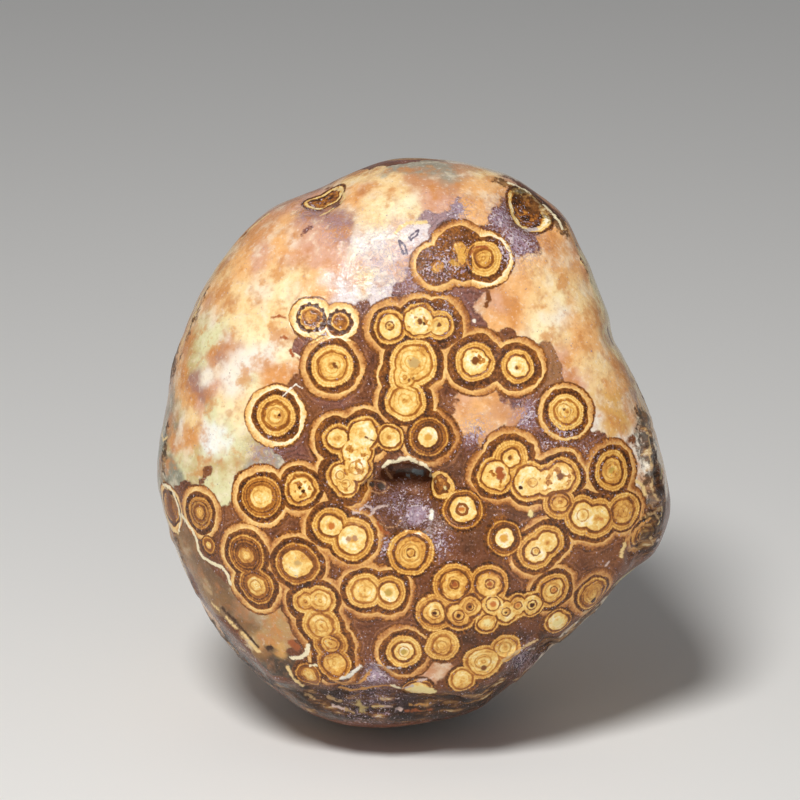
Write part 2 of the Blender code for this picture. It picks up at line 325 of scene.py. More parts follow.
# Eyes on the banded face: x, z, core, halo and band radius in mm (0: no band), kind
faceEyes = [
    # pair at the upper left, with wreaths of dark scallops
    (-8.85, 10.75, 0.7, 1.05, 1.6, "scallop"),
    (-6.3, 10.4, 0.5, 0.8, 1.4, "scallop"),
    # top group
    (6.35, 15.95, 0.75, 1.65, 2.4, "orange"),
    (4.25, 16.85, 0.6, 0.75, 2.4, "lobe"),
    (4.35, 15.85, 0.45, 0.65, 2.2, "lobe"),
    (2.2, 15.25, 0.45, 0.65, 2.1, "lobe"),
    # pits with a cream rim at the top edge
    (9.75, 20.5, 1.35, 1.85, 0.0, "pitEye"),
    (10.2, 19.4, 1.35, 1.95, 0.0, "pitEye"),
    (-8.1, 20.75, 0.95, 1.35, 0.0, "pitEye"),
    (-7.1, 21.25, 0.95, 1.35, 0.0, "pitEye"),
    # row above the trio
    (-1.9, 9.95, 1.05, 1.55, 2.2, "cream"),
    (0.6, 10.45, 1.2, 1.6, 2.2, "holed"),
    (2.4, 10.1, 0.75, 1.3, 2.4, "cream"),
    # upright trio
    (0.15, 6.75, 1.5, 2.1, 2.9, "yellow"),
    (-0.6, 5.55, 0.95, 1.5, 2.45, "yellow"),
    (-0.55, 3.45, 1.25, 1.85, 2.65, "yellow"),
    # single ones round the middle
    (-6.95, 6.45, 1.2, 1.9, 2.65, "yellow"),
    (-11.95, 2.1, 1.1, 1.8, 2.5, "orange"),
    (5.55, 6.85, 1.15, 1.8, 2.75, "holed"),
    (9.25, 6.45, 0.9, 1.5, 2.35, "cream"),
    (13.5, 2.45, 1.0, 1.65, 2.4, "yellow"),
    (1.45, 0.25, 0.9, 1.75, 2.45, "brownHalo"),
    # lumpy cream cluster left of the hollow
    (-6.5, 0.1, 0.85, 1.35, 2.3, "cream"),
    (-4.25, 0.45, 1.2, 1.65, 2.45, "cream"),
    (-1.95, 0.15, 0.85, 1.25, 0.0, "cream"),
    (-4.9, -1.05, 1.15, 1.6, 0.0, "holed"),
    (-4.9, -2.45, 1.05, 1.5, 0.0, "holed"),
    (-6.3, -3.15, 0.9, 1.35, 2.3, "holed"),
    (-5.8, -3.85, 0.8, 1.25, 2.3, "holed"),
    # left side
    (-9.75, -4.3, 1.05, 1.55, 2.25, "holed"),
    (-13.25, -5.0, 0.95, 1.85, 2.55, "brown"),
    (-18.6, -6.4, 0.55, 1.5, 2.2, "brownCore"),
    (-17.85, -9.25, 0.35, 0.8, 0.0, "brown"),
    (-21.15, -5.9, 0.2, 1.4, 1.95, "brown"),
    (-14.55, -10.1, 0.8, 1.85, 2.55, "brownCore"),
    (-13.7, -12.8, 0.9, 1.75, 2.45, "brown"),
    (-10.1, -10.9, 1.27, 1.95, 2.7, "tanRim"),
    # below the hollow
    (-7.1, -7.55, 0.95, 1.65, 2.45, "cream"),
    (-5.2, -8.7, 1.25, 1.95, 2.55, "cream"),
    (-0.1, -9.9, 1.4, 2.05, 0.0, "ringed"),
    (-4.2, -13.25, 1.05, 1.65, 2.35, "yellow"),
    (-2.05, -13.4, 0.8, 1.5, 2.2, "cream"),
    (-0.7, -18.6, 0.9, 1.6, 2.4, "creamRim"),
    (2.65, -18.05, 0.8, 1.55, 0.0, "yellow"),
    # lower left string
    (-9.3, -14.2, 0.7, 1.25, 2.1, "yellow"),
    (-8.05, -14.1, 0.9, 1.4, 2.1, "yellow"),
    (-8.0, -16.3, 1.05, 1.75, 2.45, "yellow"),
    (-7.15, -17.9, 0.85, 1.6, 2.3, "tan"),
    (-6.85, -19.6, 1.05, 1.6, 2.3, "tan"),
    (-9.05, -20.6, 0.7, 1.25, 0.0, "brown"),
    # crowded group at the lower right
    (3.75, -12.7, 1.2, 1.9, 0.0, "ringed"),
    (6.8, -12.65, 1.15, 1.75, 0.0, "ringed"),
    (2.0, -15.2, 0.95, 1.7, 0.0, "ringed"),
    (4.1, -15.4, 1.05, 1.5, 0.0, "ringed"),
    (5.1, -14.65, 0.9, 1.3, 0.0, "ringed"),
    (7.1, -14.45, 0.95, 1.35, 0.0, "small"),
    (8.25, -15.1, 0.9, 1.3, 0.0, "small"),
    (9.3, -14.55, 0.8, 1.2, 0.0, "small"),
    (10.55, -14.45, 0.9, 1.3, 0.0, "small"),
    (6.6, -16.1, 0.75, 1.1, 0.0, "small"),
    (12.35, -13.25, 1.05, 1.65, 2.3, "ringed"),
    (15.9, -13.5, 1.15, 1.65, 2.2, "tan"),
    (12.8, -15.95, 0.95, 1.35, 0.0, "cream"),
    (8.15, -18.25, 0.95, 1.45, 0.0, "yellow"),
    (6.25, -19.45, 1.3, 1.8, 0.0, "yellow"),
    (4.45, -21.05, 0.9, 1.3, 0.0, "yellow"),
    (0.45, -21.95, 1.05, 1.4, 0.0, "cream"),
    # right of the hollow
    (8.65, -1.6, 0.75, 1.6, 2.45, "cream"),
    (7.4, -3.1, 1.15, 1.65, 2.45, "holed"),
    (10.35, -3.7, 1.25, 1.75, 2.35, "cream"),
    (11.85, -3.75, 1.05, 1.6, 2.3, "holed"),
    (13.15, -3.25, 1.2, 1.75, 2.45, "holed"),
    (12.85, -5.6, 0.8, 1.5, 0.0, "tan"),
    (4.4, -6.1, 1.2, 1.85, 0.0, "orangeHeart"),
    (2.55, -3.95, 0.8, 1.25, 0.0, "brownLobe"),
    (8.05, -8.65, 0.85, 1.6, 0.0, "brownHalo"),
    (10.85, -9.8, 1.0, 1.65, 2.35, "cream"),
    (11.85, -9.0, 0.85, 1.5, 2.2, "cream"),
    (17.55, -2.7, 1.05, 1.75, 2.55, "ringed"),
    (15.0, -6.6, 1.1, 1.8, 2.55, "cream"),
    (16.25, -6.85, 1.15, 1.85, 2.55, "cream"),
    (18.55, -6.25, 1.1, 1.75, 2.2, "tan"),
    (20.2, -8.35, 0.7, 1.25, 1.75, "tan"),
]

# Tones run from 0, cream white, to 1, dark brown.
# Of each kind: tones of core, halo and band; share of holes, change of tone at the centre, fine rings;
# tone, width and lumpiness of the dark ring round the core
eyeKinds = {
    "cream": ((0.13, 0.46, 0.44), (0.22, 0.26, 0.30), (0.76, 0.20, 0.5)),
    "creamRim": ((0.10, 0.30, 0.40), (0.10, 0.22, 0.30), (0.76, 0.22, 0.4)),
    "yellow": ((0.23, 0.35, 0.43), (0.20, 0.14, 0.60), (0.67, 0.19, 0.3)),
    "orange": ((0.34, 0.42, 0.18), (0.20, 0.12, 0.70), (0.72, 0.24, 0.2)),
    "holed": ((0.16, 0.46, 0.45), (0.95, 0.14, 0.35), (0.75, 0.20, 1.0)),
    "brown": ((0.24, 0.66, 0.34), (0.25, -0.10, 0.60), (0.68, 0.22, 0.3)),
    "brownCore": ((0.46, 0.70, 0.34), (0.35, -0.22, 0.60), (0.76, 0.24, 0.3)),
    "brownHalo": ((0.08, 0.75, 0.62), (0.00, 0.16, 0.15), (0.82, 0.24, 0.3)),
    "tanRim": ((0.25, 0.64, 0.46), (0.10, 0.06, 0.25), (0.78, 0.30, 0.2)),
    "ringed": ((0.32, 0.47, 0.46), (0.20, 0.14, 0.80), (0.80, 0.20, 0.6)),
    "small": ((0.24, 0.38, 0.46), (0.25, 0.14, 0.40), (0.80, 0.16, 0.8)),
    "tan": ((0.34, 0.50, 0.48), (0.30, 0.05, 0.80), (0.76, 0.20, 0.5)),
    "orangeHeart": ((0.14, 0.73, 0.54), (0.20, 0.14, 0.20), (0.82, 0.22, 0.6)),
    "scallop": ((0.58, 0.36, 0.16), (0.25, -0.06, 0.30), (0.66, 0.14, 0.8)),
    "brownLobe": ((0.62, 0.30, 0.50), (0.60, 0.10, 0.30), (0.80, 0.12, 1.4)),
    "lobe": ((0.36, 0.84, 0.40), (0.15, 0.10, 0.10), (0.80, 0.10, 1.2)),
    "pitEye": ((0.74, 0.13, 0.50), (0.90, 0.10, 0.20), (0.50, 0.10, 1.6)),
}
shadeDownFace = {"below": -2.0, "step": 0.006}   # painted shade: halos and bands of eyes lower on the face are darker, as that part gets less light
noBand = -60.0    # a band's radius that is never reached
eyeRanks = 4


def placeFaceEyes():
    eyes = []
    for x, z, core, halo, band, kind in faceEyes:
        spot, squareness = onStone(x, z)
        if spot is None:
            print("eye misses the stone:", x, z)
            continue
        nearer = (spot - Vector(cameraSpot)).length / faceView["distance"]
        sizes = (core * nearer, halo * nearer, band * nearer if band else noBand)
        tones, marks, ring = eyeKinds[kind]
        # painted shade, darker the lower the eye sits on the face
        shadeDeeper = shadeDownFace["step"] * max(0.0, shadeDownFace["below"] - z)
        tones = (tones[0], tones[1] + shadeDeeper, tones[2] + shadeDeeper)
        eyes.append((tuple(spot), sizes, tones, marks, ring))
    return eyes


# Eyes on the other sides, in clusters: azimuth and elevation as seen from outside, number, kinds
farEyes = {
    "seed": 5,
    "clusters": [
        (92, -30, 5, "tan cream"), (122, 6, 7, "yellow cream holed"), (136, 36, 4, "orange yellow"),
        (132, -26, 7, "ringed cream holed"), (158, 12, 9, "yellow cream brownHalo"),
        (162, -42, 5, "brown tan"), (182, 46, 5, "cream holed"), (188, -12, 8, "ringed yellow cream"),
        (210, 22, 6, "orange brown"), (222, -34, 7, "cream yellow"), (236, 0, 7, "brown cream holed"),
        (256, -26, 5, "brown yellow"), (248, 36, 4, "yellow orange"), (130, 68, 3, "cream"),
    ],
    "radius": 21.0,       # mm, about the stone's radius, to turn mm into degrees
    "cores": (0.55, 1.45),
    "halo": (0.55, 0.75),
    "band": (0.65, 0.90),
    "bandedShare": 0.8,
    "rings": 1.2,         # mm of halo that two neighbours have between their cores
    "closeness": (0.70, 1.20),
    "overlap": (0.8, 0.4),   # closest that two cores come: share of their radii, and mm
    "tries": 300,
    "lowest": 1.5,
    # single eyes between the clusters
    "loners": 26,
    "lonerKinds": ["cream", "yellow", "holed", "brown", "brownHalo", "tan", "orange", "ringed"],
    "lonersBanded": 0.7,
    "lonersApart": 4.2,
    "lonersLowest": 3.0,
}


# Outside point in a direction: azimuth 0 looks at the front, 90 at the right side
def outsideAt(azimuth, elevation):
    a, e = math.radians(azimuth), math.radians(elevation)
    way = (math.sin(a) * math.cos(e), -math.cos(a) * math.cos(e), math.sin(e))
    return Vector([middle + clearOfStone * part for middle, part in zip(stoneMiddle, way)])


# Radii of the cores of one cluster and their places on it, in mm
def growCluster(count, rng):
    group = [(0.0, 0.0, rng.uniform(*farEyes["cores"]))]
    share, least = farEyes["overlap"]
    tries = 0
    while len(group) < count and tries < farEyes["tries"]:
        tries += 1
        u, v, core = rng.choice(group)
        size = rng.uniform(*farEyes["cores"])
        turn = rng.uniform(0, 2 * math.pi)
        reach = (core + size + farEyes["rings"]) * rng.uniform(*farEyes["closeness"])
        u, v = u + reach * math.cos(turn), v + reach * math.sin(turn)
        if all(math.hypot(u - a, v - b) > share * (size + c) + least for a, b, c in group):
            group.append((u, v, size))
    return group


def placeFarEyes():
    rng = random.Random(farEyes["seed"])
    eyes = []
    for azimuth, elevation, count, kinds in farEyes["clusters"]:
        group = growCluster(count, rng)
        banded = rng.random() < farEyes["bandedShare"]
        for u, v, core in group:
            degrees = math.degrees(1 / farEyes["radius"])
            across = u * degrees / max(math.cos(math.radians(elevation)), 0.3)
            hit, normal = castIn(outsideAt(azimuth + across, elevation + v * degrees))
            halo = core + rng.uniform(*farEyes["halo"])
            band = halo + rng.uniform(*farEyes["band"]) if banded else noBand
            kind = rng.choice(kinds.split())
            if hit is not None and hit.z > farEyes["lowest"]:
                eyes.append((tuple(hit), (core, halo, band), *eyeKinds[kind]))
    for spot in farPoints(farEyes["loners"], rng, grazing=-0.1):
        core = rng.uniform(*farEyes["cores"])
        halo = core + rng.uniform(*farEyes["halo"])
        band = halo + rng.uniform(*farEyes["band"]) if rng.random() < farEyes["lonersBanded"] else noBand
        kind = rng.choice(farEyes["lonerKinds"])
        apart = all((spot - Vector(eye[0])).length > farEyes["lonersApart"] for eye in eyes)
        if spot.z > farEyes["lonersLowest"] and apart:
            eyes.append((tuple(spot), (core, halo, band), *eyeKinds[kind]))
    return eyes


frontEyes = placeFaceEyes()
eyes = frontEyes + placeFarEyes()
print("eyes placed:", len(frontEyes), "in front,", len(eyes) - len(frontEyes), "on the other sides")


# Every face keeps the values of the rows in its ranks
def storeRanks(mesh, values, ranks):
    for name, rows in values.items():
        rows = np.asarray(rows, np.float32)
        for rank in range(ranks.shape[1]):
            layer = mesh.attributes.new(f"{name}{rank}", "FLOAT_VECTOR", "FACE")
            layer.data.foreach_set("vector", rows[ranks[:, rank]].ravel())


# Each face keeps the eyes whose outlines are nearest to it
def storeEyes(mesh):
    middles = readRows(mesh.polygons, "center") / mm
    spots, sizes, tones, marks, rings = (np.array([e[i] for e in eyes]) for i in range(5))
    reach = np.maximum(sizes[:, 1], sizes[:, 2])
    gaps = np.linalg.norm(middles[:, None, :] - spots[None, :, :], axis=2) - reach[None, :]
    ranks = np.argsort(gaps, axis=1)[:, :eyeRanks]
    storeRanks(mesh, {
        "eyeSpot": spots, "eyeSizes": sizes, "eyeTones": tones, "eyeMarks": marks, "eyeRing": rings,
    }, ranks)


storeEyes(stone.data)

# Ground between the eyes: clear patches of chalcedony and patches of brown matrix.
# Places of the face: x, z, reach in mm
clearColours = {
    "orange": "DE9A5A", "peach": "EFB474", "palePeach": "F6D196", "cream": "FAE7B4", "tan": "CC9268",
    "whitish": "F2E7D6", "white": "F4F6F0", "greenish": "E0DAA8", "olive": "CBB47C", "rosy": "DBA688",
    "mauve": "A67A6C", "greyBlue": "A39A86", "greyGreen": "8C8A76", "highlight": "E8DAD6",
    "gold": "E0AC62", "drab": "8F6A42", "paleTan": "C09A66", "greyDark": "4C3F33", "drabDark": "785737",
}
matrixColours = {
    "lilacBrown": "875648", "warmBrown": "844F2B", "duskyBrown": "6C4228", "dark": "24160D",
    "umber": "4E2E18", "paleLilac": "A88A8C", "shadeTan": "A0714A", "mauveGrey": "83666A",
}
clearPatches = {
    "orange": [
        (-14.2, 18.4, 1.2), (-13.15, 18.6, 1.2), (-11.6, 5.45, 0.8), (-13.15, 5.45, 0.7),
        (7.3, 21.5, 0.7), (7.0, 20.55, 0.6), (8.4, 11.25, 0.7), (-11.3, 16.25, 0.5), (-19.75, 0.0, 0.7),
        (13.7, 11.85, 0.5), (12.55, 16.25, 0.8), (-10.7, 6.5, 0.5), (-20.2, 6.15, 0.5),
        (-21.05, 0.2, 0.5), (-5.9, 23.0, 0.5), (-5.0, 23.35, 0.5), (15.95, 11.85, 0.6),
        (17.0, 8.75, 0.5), (18.0, 6.15, 0.6), (18.95, 3.7, 0.5), (19.4, 2.45, 0.5), (-9.8, 13.6, 0.5),
    ],
    "peach": [
        (-11.3, 17.55, 0.9), (-15.1, 16.25, 1.1), (-12.0, 15.6, 0.9), (-15.25, 14.45, 0.7),
        (-17.3, 13.75, 0.7), (-5.25, 21.5, 0.6), (5.55, 22.35, 0.8), (5.25, 20.1, 0.7),
        (11.25, 15.6, 0.9), (13.85, 15.35, 0.8), (9.45, 14.05, 0.9), (9.9, 10.95, 0.8), (7.3, 10.7, 0.6),
        (15.6, 9.65, 0.7), (16.5, 8.35, 0.6), (14.3, 8.35, 0.7), (14.3, 10.1, 0.7), (6.4, 3.05, 0.8),
        (5.8, 1.65, 0.9), (5.1, 2.55, 0.8), (-17.3, 11.75, 0.6), (8.15, 13.05, 0.6), (8.6, 15.25, 0.7),
        (-19.8, 9.65, 0.7), (-20.55, 7.45, 0.6), (-20.7, 4.8, 0.6), (-8.25, 14.75, 0.7),
        (-7.9, 13.15, 0.6), (-8.5, 12.3, 0.5), (-5.45, 20.6, 0.6), (-5.25, 21.75, 0.6),
        (-10.7, 19.75, 0.6), (-11.15, 18.85, 0.6), (15.45, 13.15, 0.6), (16.5, 10.35, 0.6),
        (17.55, 7.2, 0.6), (18.4, 5.1, 0.6), (13.4, 18.25, 0.6), (17.35, 4.9, 0.6), (-19.9, 3.5, 0.6),
        (-20.35, 4.2, 0.5),
    ],
    "palePeach": [
        (-16.4, 14.75, 0.6), (-12.65, 13.95, 0.8), (-9.8, 14.45, 0.8), (-15.8, 11.85, 1.1),
        (-14.2, 11.4, 1.1), (-12.65, 12.2, 0.9), (-14.65, 13.4, 0.9), (-4.1, 23.0, 0.8),
        (-2.8, 21.95, 0.9), (-1.5, 22.3, 0.8), (5.95, 23.4, 0.8), (6.85, 22.7, 0.7), (11.65, 13.95, 1.0),
        (14.3, 13.5, 0.9), (11.65, 12.2, 0.8), (14.75, 11.4, 0.8), (15.6, 12.2, 0.7), (13.0, 9.1, 0.7),
        (15.6, 6.95, 0.8), (16.85, 6.3, 0.6), (16.15, 4.9, 0.6), (-3.7, 20.55, 0.7), (-3.25, 19.2, 0.8),
        (-12.45, 10.45, 0.8), (-11.15, 9.75, 0.7), (-15.1, 3.05, 0.7), (-16.65, 3.6, 0.5),
        (-19.45, 1.65, 0.6), (-5.45, 22.7, 0.7),
    ],
    "cream": [
        (-11.15, 13.75, 1.1), (-13.15, 9.1, 0.9), (-2.35, 20.6, 0.9), (-0.6, 20.95, 0.8),
        (-1.5, 19.75, 0.9), (-0.2, 20.1, 0.7), (11.65, 9.1, 0.7), (11.25, 10.45, 0.9), (13.0, 12.3, 0.7),
        (-11.15, 7.55, 0.6), (-14.2, 4.75, 0.6), (-14.65, 9.55, 0.7), (-16.15, 2.55, 0.7),
        (-15.25, 1.25, 0.6), (-4.55, 14.4, 0.7),
    ],
    "whitish": [
        (-13.5, 13.15, 0.8), (-10.45, 17.7, 0.5), (-17.55, 10.8, 0.5), (-16.3, 8.85, 0.4),
        (-14.65, 7.35, 0.8), (-13.5, 6.85, 0.8), (-12.3, 7.9, 0.8), (12.55, 10.95, 0.6),
        (-15.8, 5.9, 0.8), (-15.8, 4.3, 0.8), (-18.15, 5.35, 0.6), (-18.15, 0.9, 0.6),
        (-20.1, 1.05, 0.35), (16.5, 1.65, 0.45), (-3.7, 16.65, 1.1), (-4.1, 18.0, 0.7),
    ],
    "greenish": [
        (-17.0, -4.55, 0.8), (-16.3, -3.85, 0.6), (-17.0, 10.0, 0.9), (-18.15, 9.2, 0.7),
        (-18.15, 10.7, 0.6), (-17.3, 8.25, 0.5), (-18.6, 7.0, 0.7), (-16.15, 0.95, 0.5),
        (-16.65, -0.95, 0.5), (-17.3, 2.3, 0.7), (-15.55, -0.55, 0.6), (-20.2, -1.3, 0.5),
        (-18.15, -1.6, 0.6), (-14.65, 5.45, 0.5), (-19.8, -2.0, 0.5),
    ],
    "white": [
        (-17.55, -0.25, 0.9), (-16.95, 0.35, 0.6),
    ],
    "olive": [
        (-18.95, 8.35, 0.5), (-19.45, 6.6, 0.5), (-17.0, -2.55, 0.7), (-15.1, -1.4, 0.5),
        (-19.05, -0.95, 0.5), (-15.95, -2.1, 0.5), (-19.05, -2.55, 0.5), (-14.65, 0.35, 0.5),
        (-14.2, -0.6, 0.4), (-20.55, 2.65, 0.5), (-21.5, -0.9, 0.4),
    ],
    "rosy": [
        (-13.15, 16.65, 0.8), (-10.7, 15.6, 0.6), (-13.5, 15.2, 0.7), (-8.95, 17.55, 0.8),
        (-4.1, 21.95, 0.6), (-17.9, 12.3, 0.4), (-19.05, 2.8, 0.4), (7.7, 12.2, 0.6), (-7.2, 16.6, 0.7),
        (2.9, 20.6, 0.8), (1.6, 20.6, 0.7), (1.15, 21.3, 0.6), (-8.05, 16.15, 0.6), (14.75, 4.75, 0.5),
        (14.3, 6.05, 0.5), (-17.3, 4.55, 0.5), (13.0, 7.8, 0.5), (4.65, 3.05, 0.6), (-9.4, 20.6, 0.6),
        (-9.8, 19.1, 0.6), (-8.05, 18.25, 0.6), (-6.75, 17.7, 0.5), (8.4, 22.3, 0.5), (-4.55, 15.6, 0.6),
        (-3.25, 15.6, 0.6), (-5.45, 14.45, 0.6), (-1.05, 14.45, 0.6), (-1.5, 17.1, 0.6),
        (-1.05, 18.85, 0.6), (1.15, -20.6, 0.4), (0.25, -20.35, 0.4),
    ],
    "tan": [
        (-15.95, 8.05, 0.8), (-12.0, 19.75, 0.7), (-16.3, 15.6, 0.5), (-17.55, 6.5, 0.6),
        (-19.45, 3.85, 0.4), (-20.7, 2.45, 0.4), (-20.55, -0.1, 0.5), (1.75, 22.55, 0.7),
        (3.75, 22.3, 0.5), (0.25, 22.7, 0.6), (4.4, 23.5, 0.6), (6.4, 11.3, 0.5), (19.1, 3.05, 0.5),
        (18.7, 6.05, 0.5), (7.3, 2.55, 0.6), (5.1, 23.85, 0.6), (9.45, 2.45, 0.5), (-21.4, 1.6, 0.5),
        (9.45, 2.2, 0.5), (-19.8, 8.35, 0.5), (-10.7, 20.9, 0.6), (14.3, 15.95, 0.5), (14.9, 14.9, 0.5),
        (13.85, 17.3, 0.5), (20.0, 1.3, 0.4), (6.65, 22.55, 0.5), (1.75, -20.2, 0.5), (3.0, -19.9, 0.4),
    ],
    "mauve": [
        (-18.15, 3.95, 0.5), (-19.05, 5.2, 0.5), (-18.85, 4.45, 0.4), (-16.65, 7.35, 0.4),
        (-9.4, 19.75, 0.8), (-5.9, 19.75, 0.6), (-6.65, 19.05, 0.6), (-6.25, 17.45, 0.6),
        (19.55, 3.95, 0.4), (19.3, 5.2, 0.4),
    ],
    "greyBlue": [
        (-0.35, 23.85, 0.7), (0.7, 23.85, 0.8), (2.0, 23.85, 0.8), (3.35, 23.6, 0.6), (3.05, 22.8, 0.5),
        (-13.75, -1.3, 0.5), (-12.45, -1.3, 0.5), (-21.65, -2.7, 0.5), (-1.5, 23.7, 0.5),
    ],
    "greyGreen": [
        (-21.4, -1.3, 0.5), (-21.25, -3.6, 0.4), (-21.95, -0.1, 0.4), (20.0, 1.65, 0.4),
        (19.8, 0.45, 0.4), (-20.6, -2.7, 0.4),
    ],
    "highlight": [
        # whitish chalcedony painted whiter: partly the stone's own colour, partly a painted highlight
        # where the key light glints
        (-2.35, 17.45, 0.7), (-6.25, 13.6, 0.8), (-2.35, 13.5, 0.7), (0.25, 17.55, 1.0),
        (-4.45, 17.0, 0.6), (-3.6, 15.6, 0.6), (-7.35, 14.05, 0.6), (-0.2, 18.25, 0.5),
        (-3.0, 13.15, 0.5),
    ],
    "gold": [
        (18.25, 2.2, 0.7), (17.35, 1.25, 0.5), (-11.75, -18.25, 0.5), (17.55, 4.2, 0.6),
        (16.85, 3.35, 0.6), (17.9, 3.15, 0.6),
    ],
    "paleTan": [
        (-13.15, -16.5, 0.6), (-13.5, -17.2, 0.6), (-11.95, -17.0, 0.7), (-11.4, -17.65, 0.5),
        (-19.75, -9.8, 0.4), (-18.05, -12.9, 0.4), (-12.35, -16.15, 0.6), (-14.2, -14.45, 0.7),
        (-13.15, -15.1, 0.7), (-12.45, -14.75, 0.6),
    ],
    "drab": [
        (-20.1, -8.85, 0.6), (-19.45, -10.55, 0.6), (-18.6, -11.85, 0.6), (-18.15, -13.15, 0.5),
        (-16.85, -13.25, 0.5), (-15.95, -14.45, 0.6), (-17.2, -14.1, 0.5), (-14.65, -15.6, 0.5),
        (-13.6, -15.95, 0.5), (-13.15, -18.85, 0.4), (-19.45, -9.2, 0.5), (-21.85, -1.75, 0.4),
        (-21.85, -2.65, 0.4), (-21.25, -7.9, 0.4), (-20.7, -9.2, 0.4),
    ],
    "greyDark": [
        # partly the foot's dark crust, partly painted shade low on the stone
        (-12.0, -19.55, 0.6), (-10.7, -20.0, 0.6), (-13.15, -20.35, 0.5), (-10.7, -21.95, 0.6),
        (-8.95, -22.9, 0.6), (-10.2, -23.05, 0.5), (-6.3, -24.05, 0.6), (-8.05, -23.75, 0.6),
    ],
    "drabDark": [
        (-19.8, -8.6, 0.5), (-18.95, -10.55, 0.6), (-15.8, -15.1, 0.5), (-14.2, -16.3, 0.5),
        (-19.45, -9.8, 0.6), (-18.15, -11.6, 0.6), (-16.65, -13.15, 0.6), (-15.1, -14.55, 0.6),
    ],
}
matrixPatches = {
    "paleLilac": [
        (4.2, 20.55, 0.5), (3.5, 19.8, 0.6), (2.45, 19.3, 0.6), (1.15, 19.75, 0.5), (2.45, 17.55, 0.7),
        (1.6, 16.25, 0.6), (0.25, 15.6, 0.6), (0.9, 13.6, 0.5),
    ],
    "lilacBrown": [
        (7.7, 21.4, 0.5), (7.8, 20.2, 0.5), (7.7, 18.85, 0.6), (9.45, 16.95, 0.8), (10.35, 16.65, 0.6),
        (8.4, 17.55, 0.5), (9.45, 3.05, 0.6), (10.35, 1.75, 0.6), (5.55, 0.7, 0.6), (0.25, 14.05, 0.7),
        (1.6, 13.15, 0.7), (-0.6, 13.15, 0.6), (3.75, 12.3, 0.7), (5.1, 12.3, 0.7), (5.25, 10.95, 0.6),
        (5.95, 10.1, 0.5), (-8.95, 20.2, 0.5), (-9.4, 18.4, 0.4), (-7.9, 9.2, 0.5), (-9.4, 8.35, 0.4),
        (-9.8, -0.9, 0.5), (-11.15, -0.6, 0.4), (-5.9, 3.5, 0.5), (-7.65, 3.5, 0.5), (12.55, -2.65, 0.4),
    ],
    "shadeTan": [
        (12.3, 7.2, 0.5), (12.65, 5.8, 0.5), (12.3, 4.55, 0.5), (11.65, 8.25, 0.4),
    ],
    "warmBrown": [
        (14.3, 0.0, 0.5), (-8.95, 4.8, 0.6), (-8.75, 3.35, 0.6), (-8.4, 1.95, 0.5), (-9.8, 5.25, 0.4),
        (15.6, 0.0, 0.4), (16.5, 0.35, 0.4), (3.35, 3.05, 0.4), (7.7, 0.45, 0.5), (7.7, 8.95, 0.35),
        (19.3, 0.0, 0.4), (-15.95, -6.3, 0.6), (-15.8, -7.2, 0.5), (-15.1, -3.35, 0.4),
        (-16.65, -5.95, 0.3), (-18.0, -3.15, 0.4), (-11.15, -7.0, 0.4), (-11.3, -7.65, 0.4),
        (21.3, -2.65, 0.6), (20.9, -0.9, 0.5), (21.75, -4.4, 0.5), (20.45, 0.9, 0.4),
        (17.35, -10.55, 0.6), (16.25, -10.2, 0.6), (13.85, -10.55, 0.5), (18.25, -10.1, 0.4),
    ],
    "duskyBrown": [
        (-1.05, -4.4, 0.9), (-2.35, -5.25, 0.8), (0.25, -4.8, 0.8), (1.6, -5.7, 0.7), (-1.5, -7.0, 0.9),
        (-3.7, -5.25, 0.8), (-5.45, -5.95, 0.7), (1.6, -7.9, 0.7), (3.35, -7.0, 0.5), (5.1, -8.75, 0.6),
        (-1.05, -8.75, 0.6), (-2.8, -9.45, 0.6), (3.35, -1.75, 0.7), (4.65, -2.65, 0.6),
        (5.55, -7.9, 0.6), (7.3, -6.15, 0.6), (9.45, -7.0, 0.6), (14.75, -3.5, 0.4),
    ],
    "dark": [
        # partly dark crust at the foot and the lower right rim, partly painted shade under the overhang
        (-2.8, -23.85, 0.5), (-1.5, -24.2, 0.5), (1.6, -23.5, 0.5), (-4.55, -23.5, 0.5),
        (-6.3, -23.05, 0.4), (7.7, -21.95, 0.9), (5.95, -22.8, 0.9), (9.45, -19.65, 0.5),
        (10.8, -18.95, 0.5), (11.95, -18.0, 0.5), (4.2, -23.85, 0.8), (2.45, -24.1, 0.7),
        (0.7, -24.2, 0.6), (-1.05, -24.4, 0.7), (-3.25, -24.4, 0.7), (-5.45, -24.2, 0.5),
        (-15.55, -18.4, 0.6), (-14.2, -19.65, 0.6), (-16.4, -17.1, 0.5),
    ],
    "umber": [
        (20.9, 0.0, 0.5), (21.3, -1.3, 0.5), (21.75, -2.65, 0.5), (21.95, -4.4, 0.5),
        (21.95, -6.15, 0.5), (21.3, -7.45, 0.5), (5.1, -17.55, 0.5), (9.45, -17.55, 0.6),
        (7.9, -16.85, 0.4), (11.65, -16.85, 0.5), (5.55, -18.85, 0.4), (-7.65, -22.1, 0.8),
        (-8.75, -21.75, 0.6), (-9.8, -20.7, 0.6), (-6.3, -21.95, 0.5), (4.2, -21.95, 0.6),
        (2.45, -22.65, 0.7), (0.7, -22.8, 0.6), (5.55, -21.95, 0.5), (-9.8, -17.55, 0.4),
        (-8.25, -18.4, 0.4), (8.15, -20.35, 0.4), (15.6, -14.45, 0.4), (17.55, -13.15, 0.4),
        (14.3, -14.9, 0.4),
    ],
    "mauveGrey": [
        (-5.25, -22.55, 0.6), (-3.5, -22.55, 0.6), (-2.3, -22.55, 0.6), (-3.15, -20.7, 0.6),
        (-2.1, -20.35, 0.5), (-0.9, -22.9, 0.5), (-1.5, -23.5, 0.4), (-8.4, -18.6, 0.4),
        (-8.75, -18.0, 0.4),
    ],
}
matrixHold = 0.0008         # how strongly the plain matrix holds its ground
matrixPlain = "754325"
matrixFade = 0.02           # how soon the patches' colours give way to the plain one
groundSoftness = {"share": 0.45, "colours": 1.2}   # 1 keeps the patches' own edges and reach
groundWarp = {"seed": 4, "slow": (2.4, 0.8), "fine": (0.7, 0.5)}   # size and amount in mm
# share of painted glints on the plain stone
plainGlint = 0.22
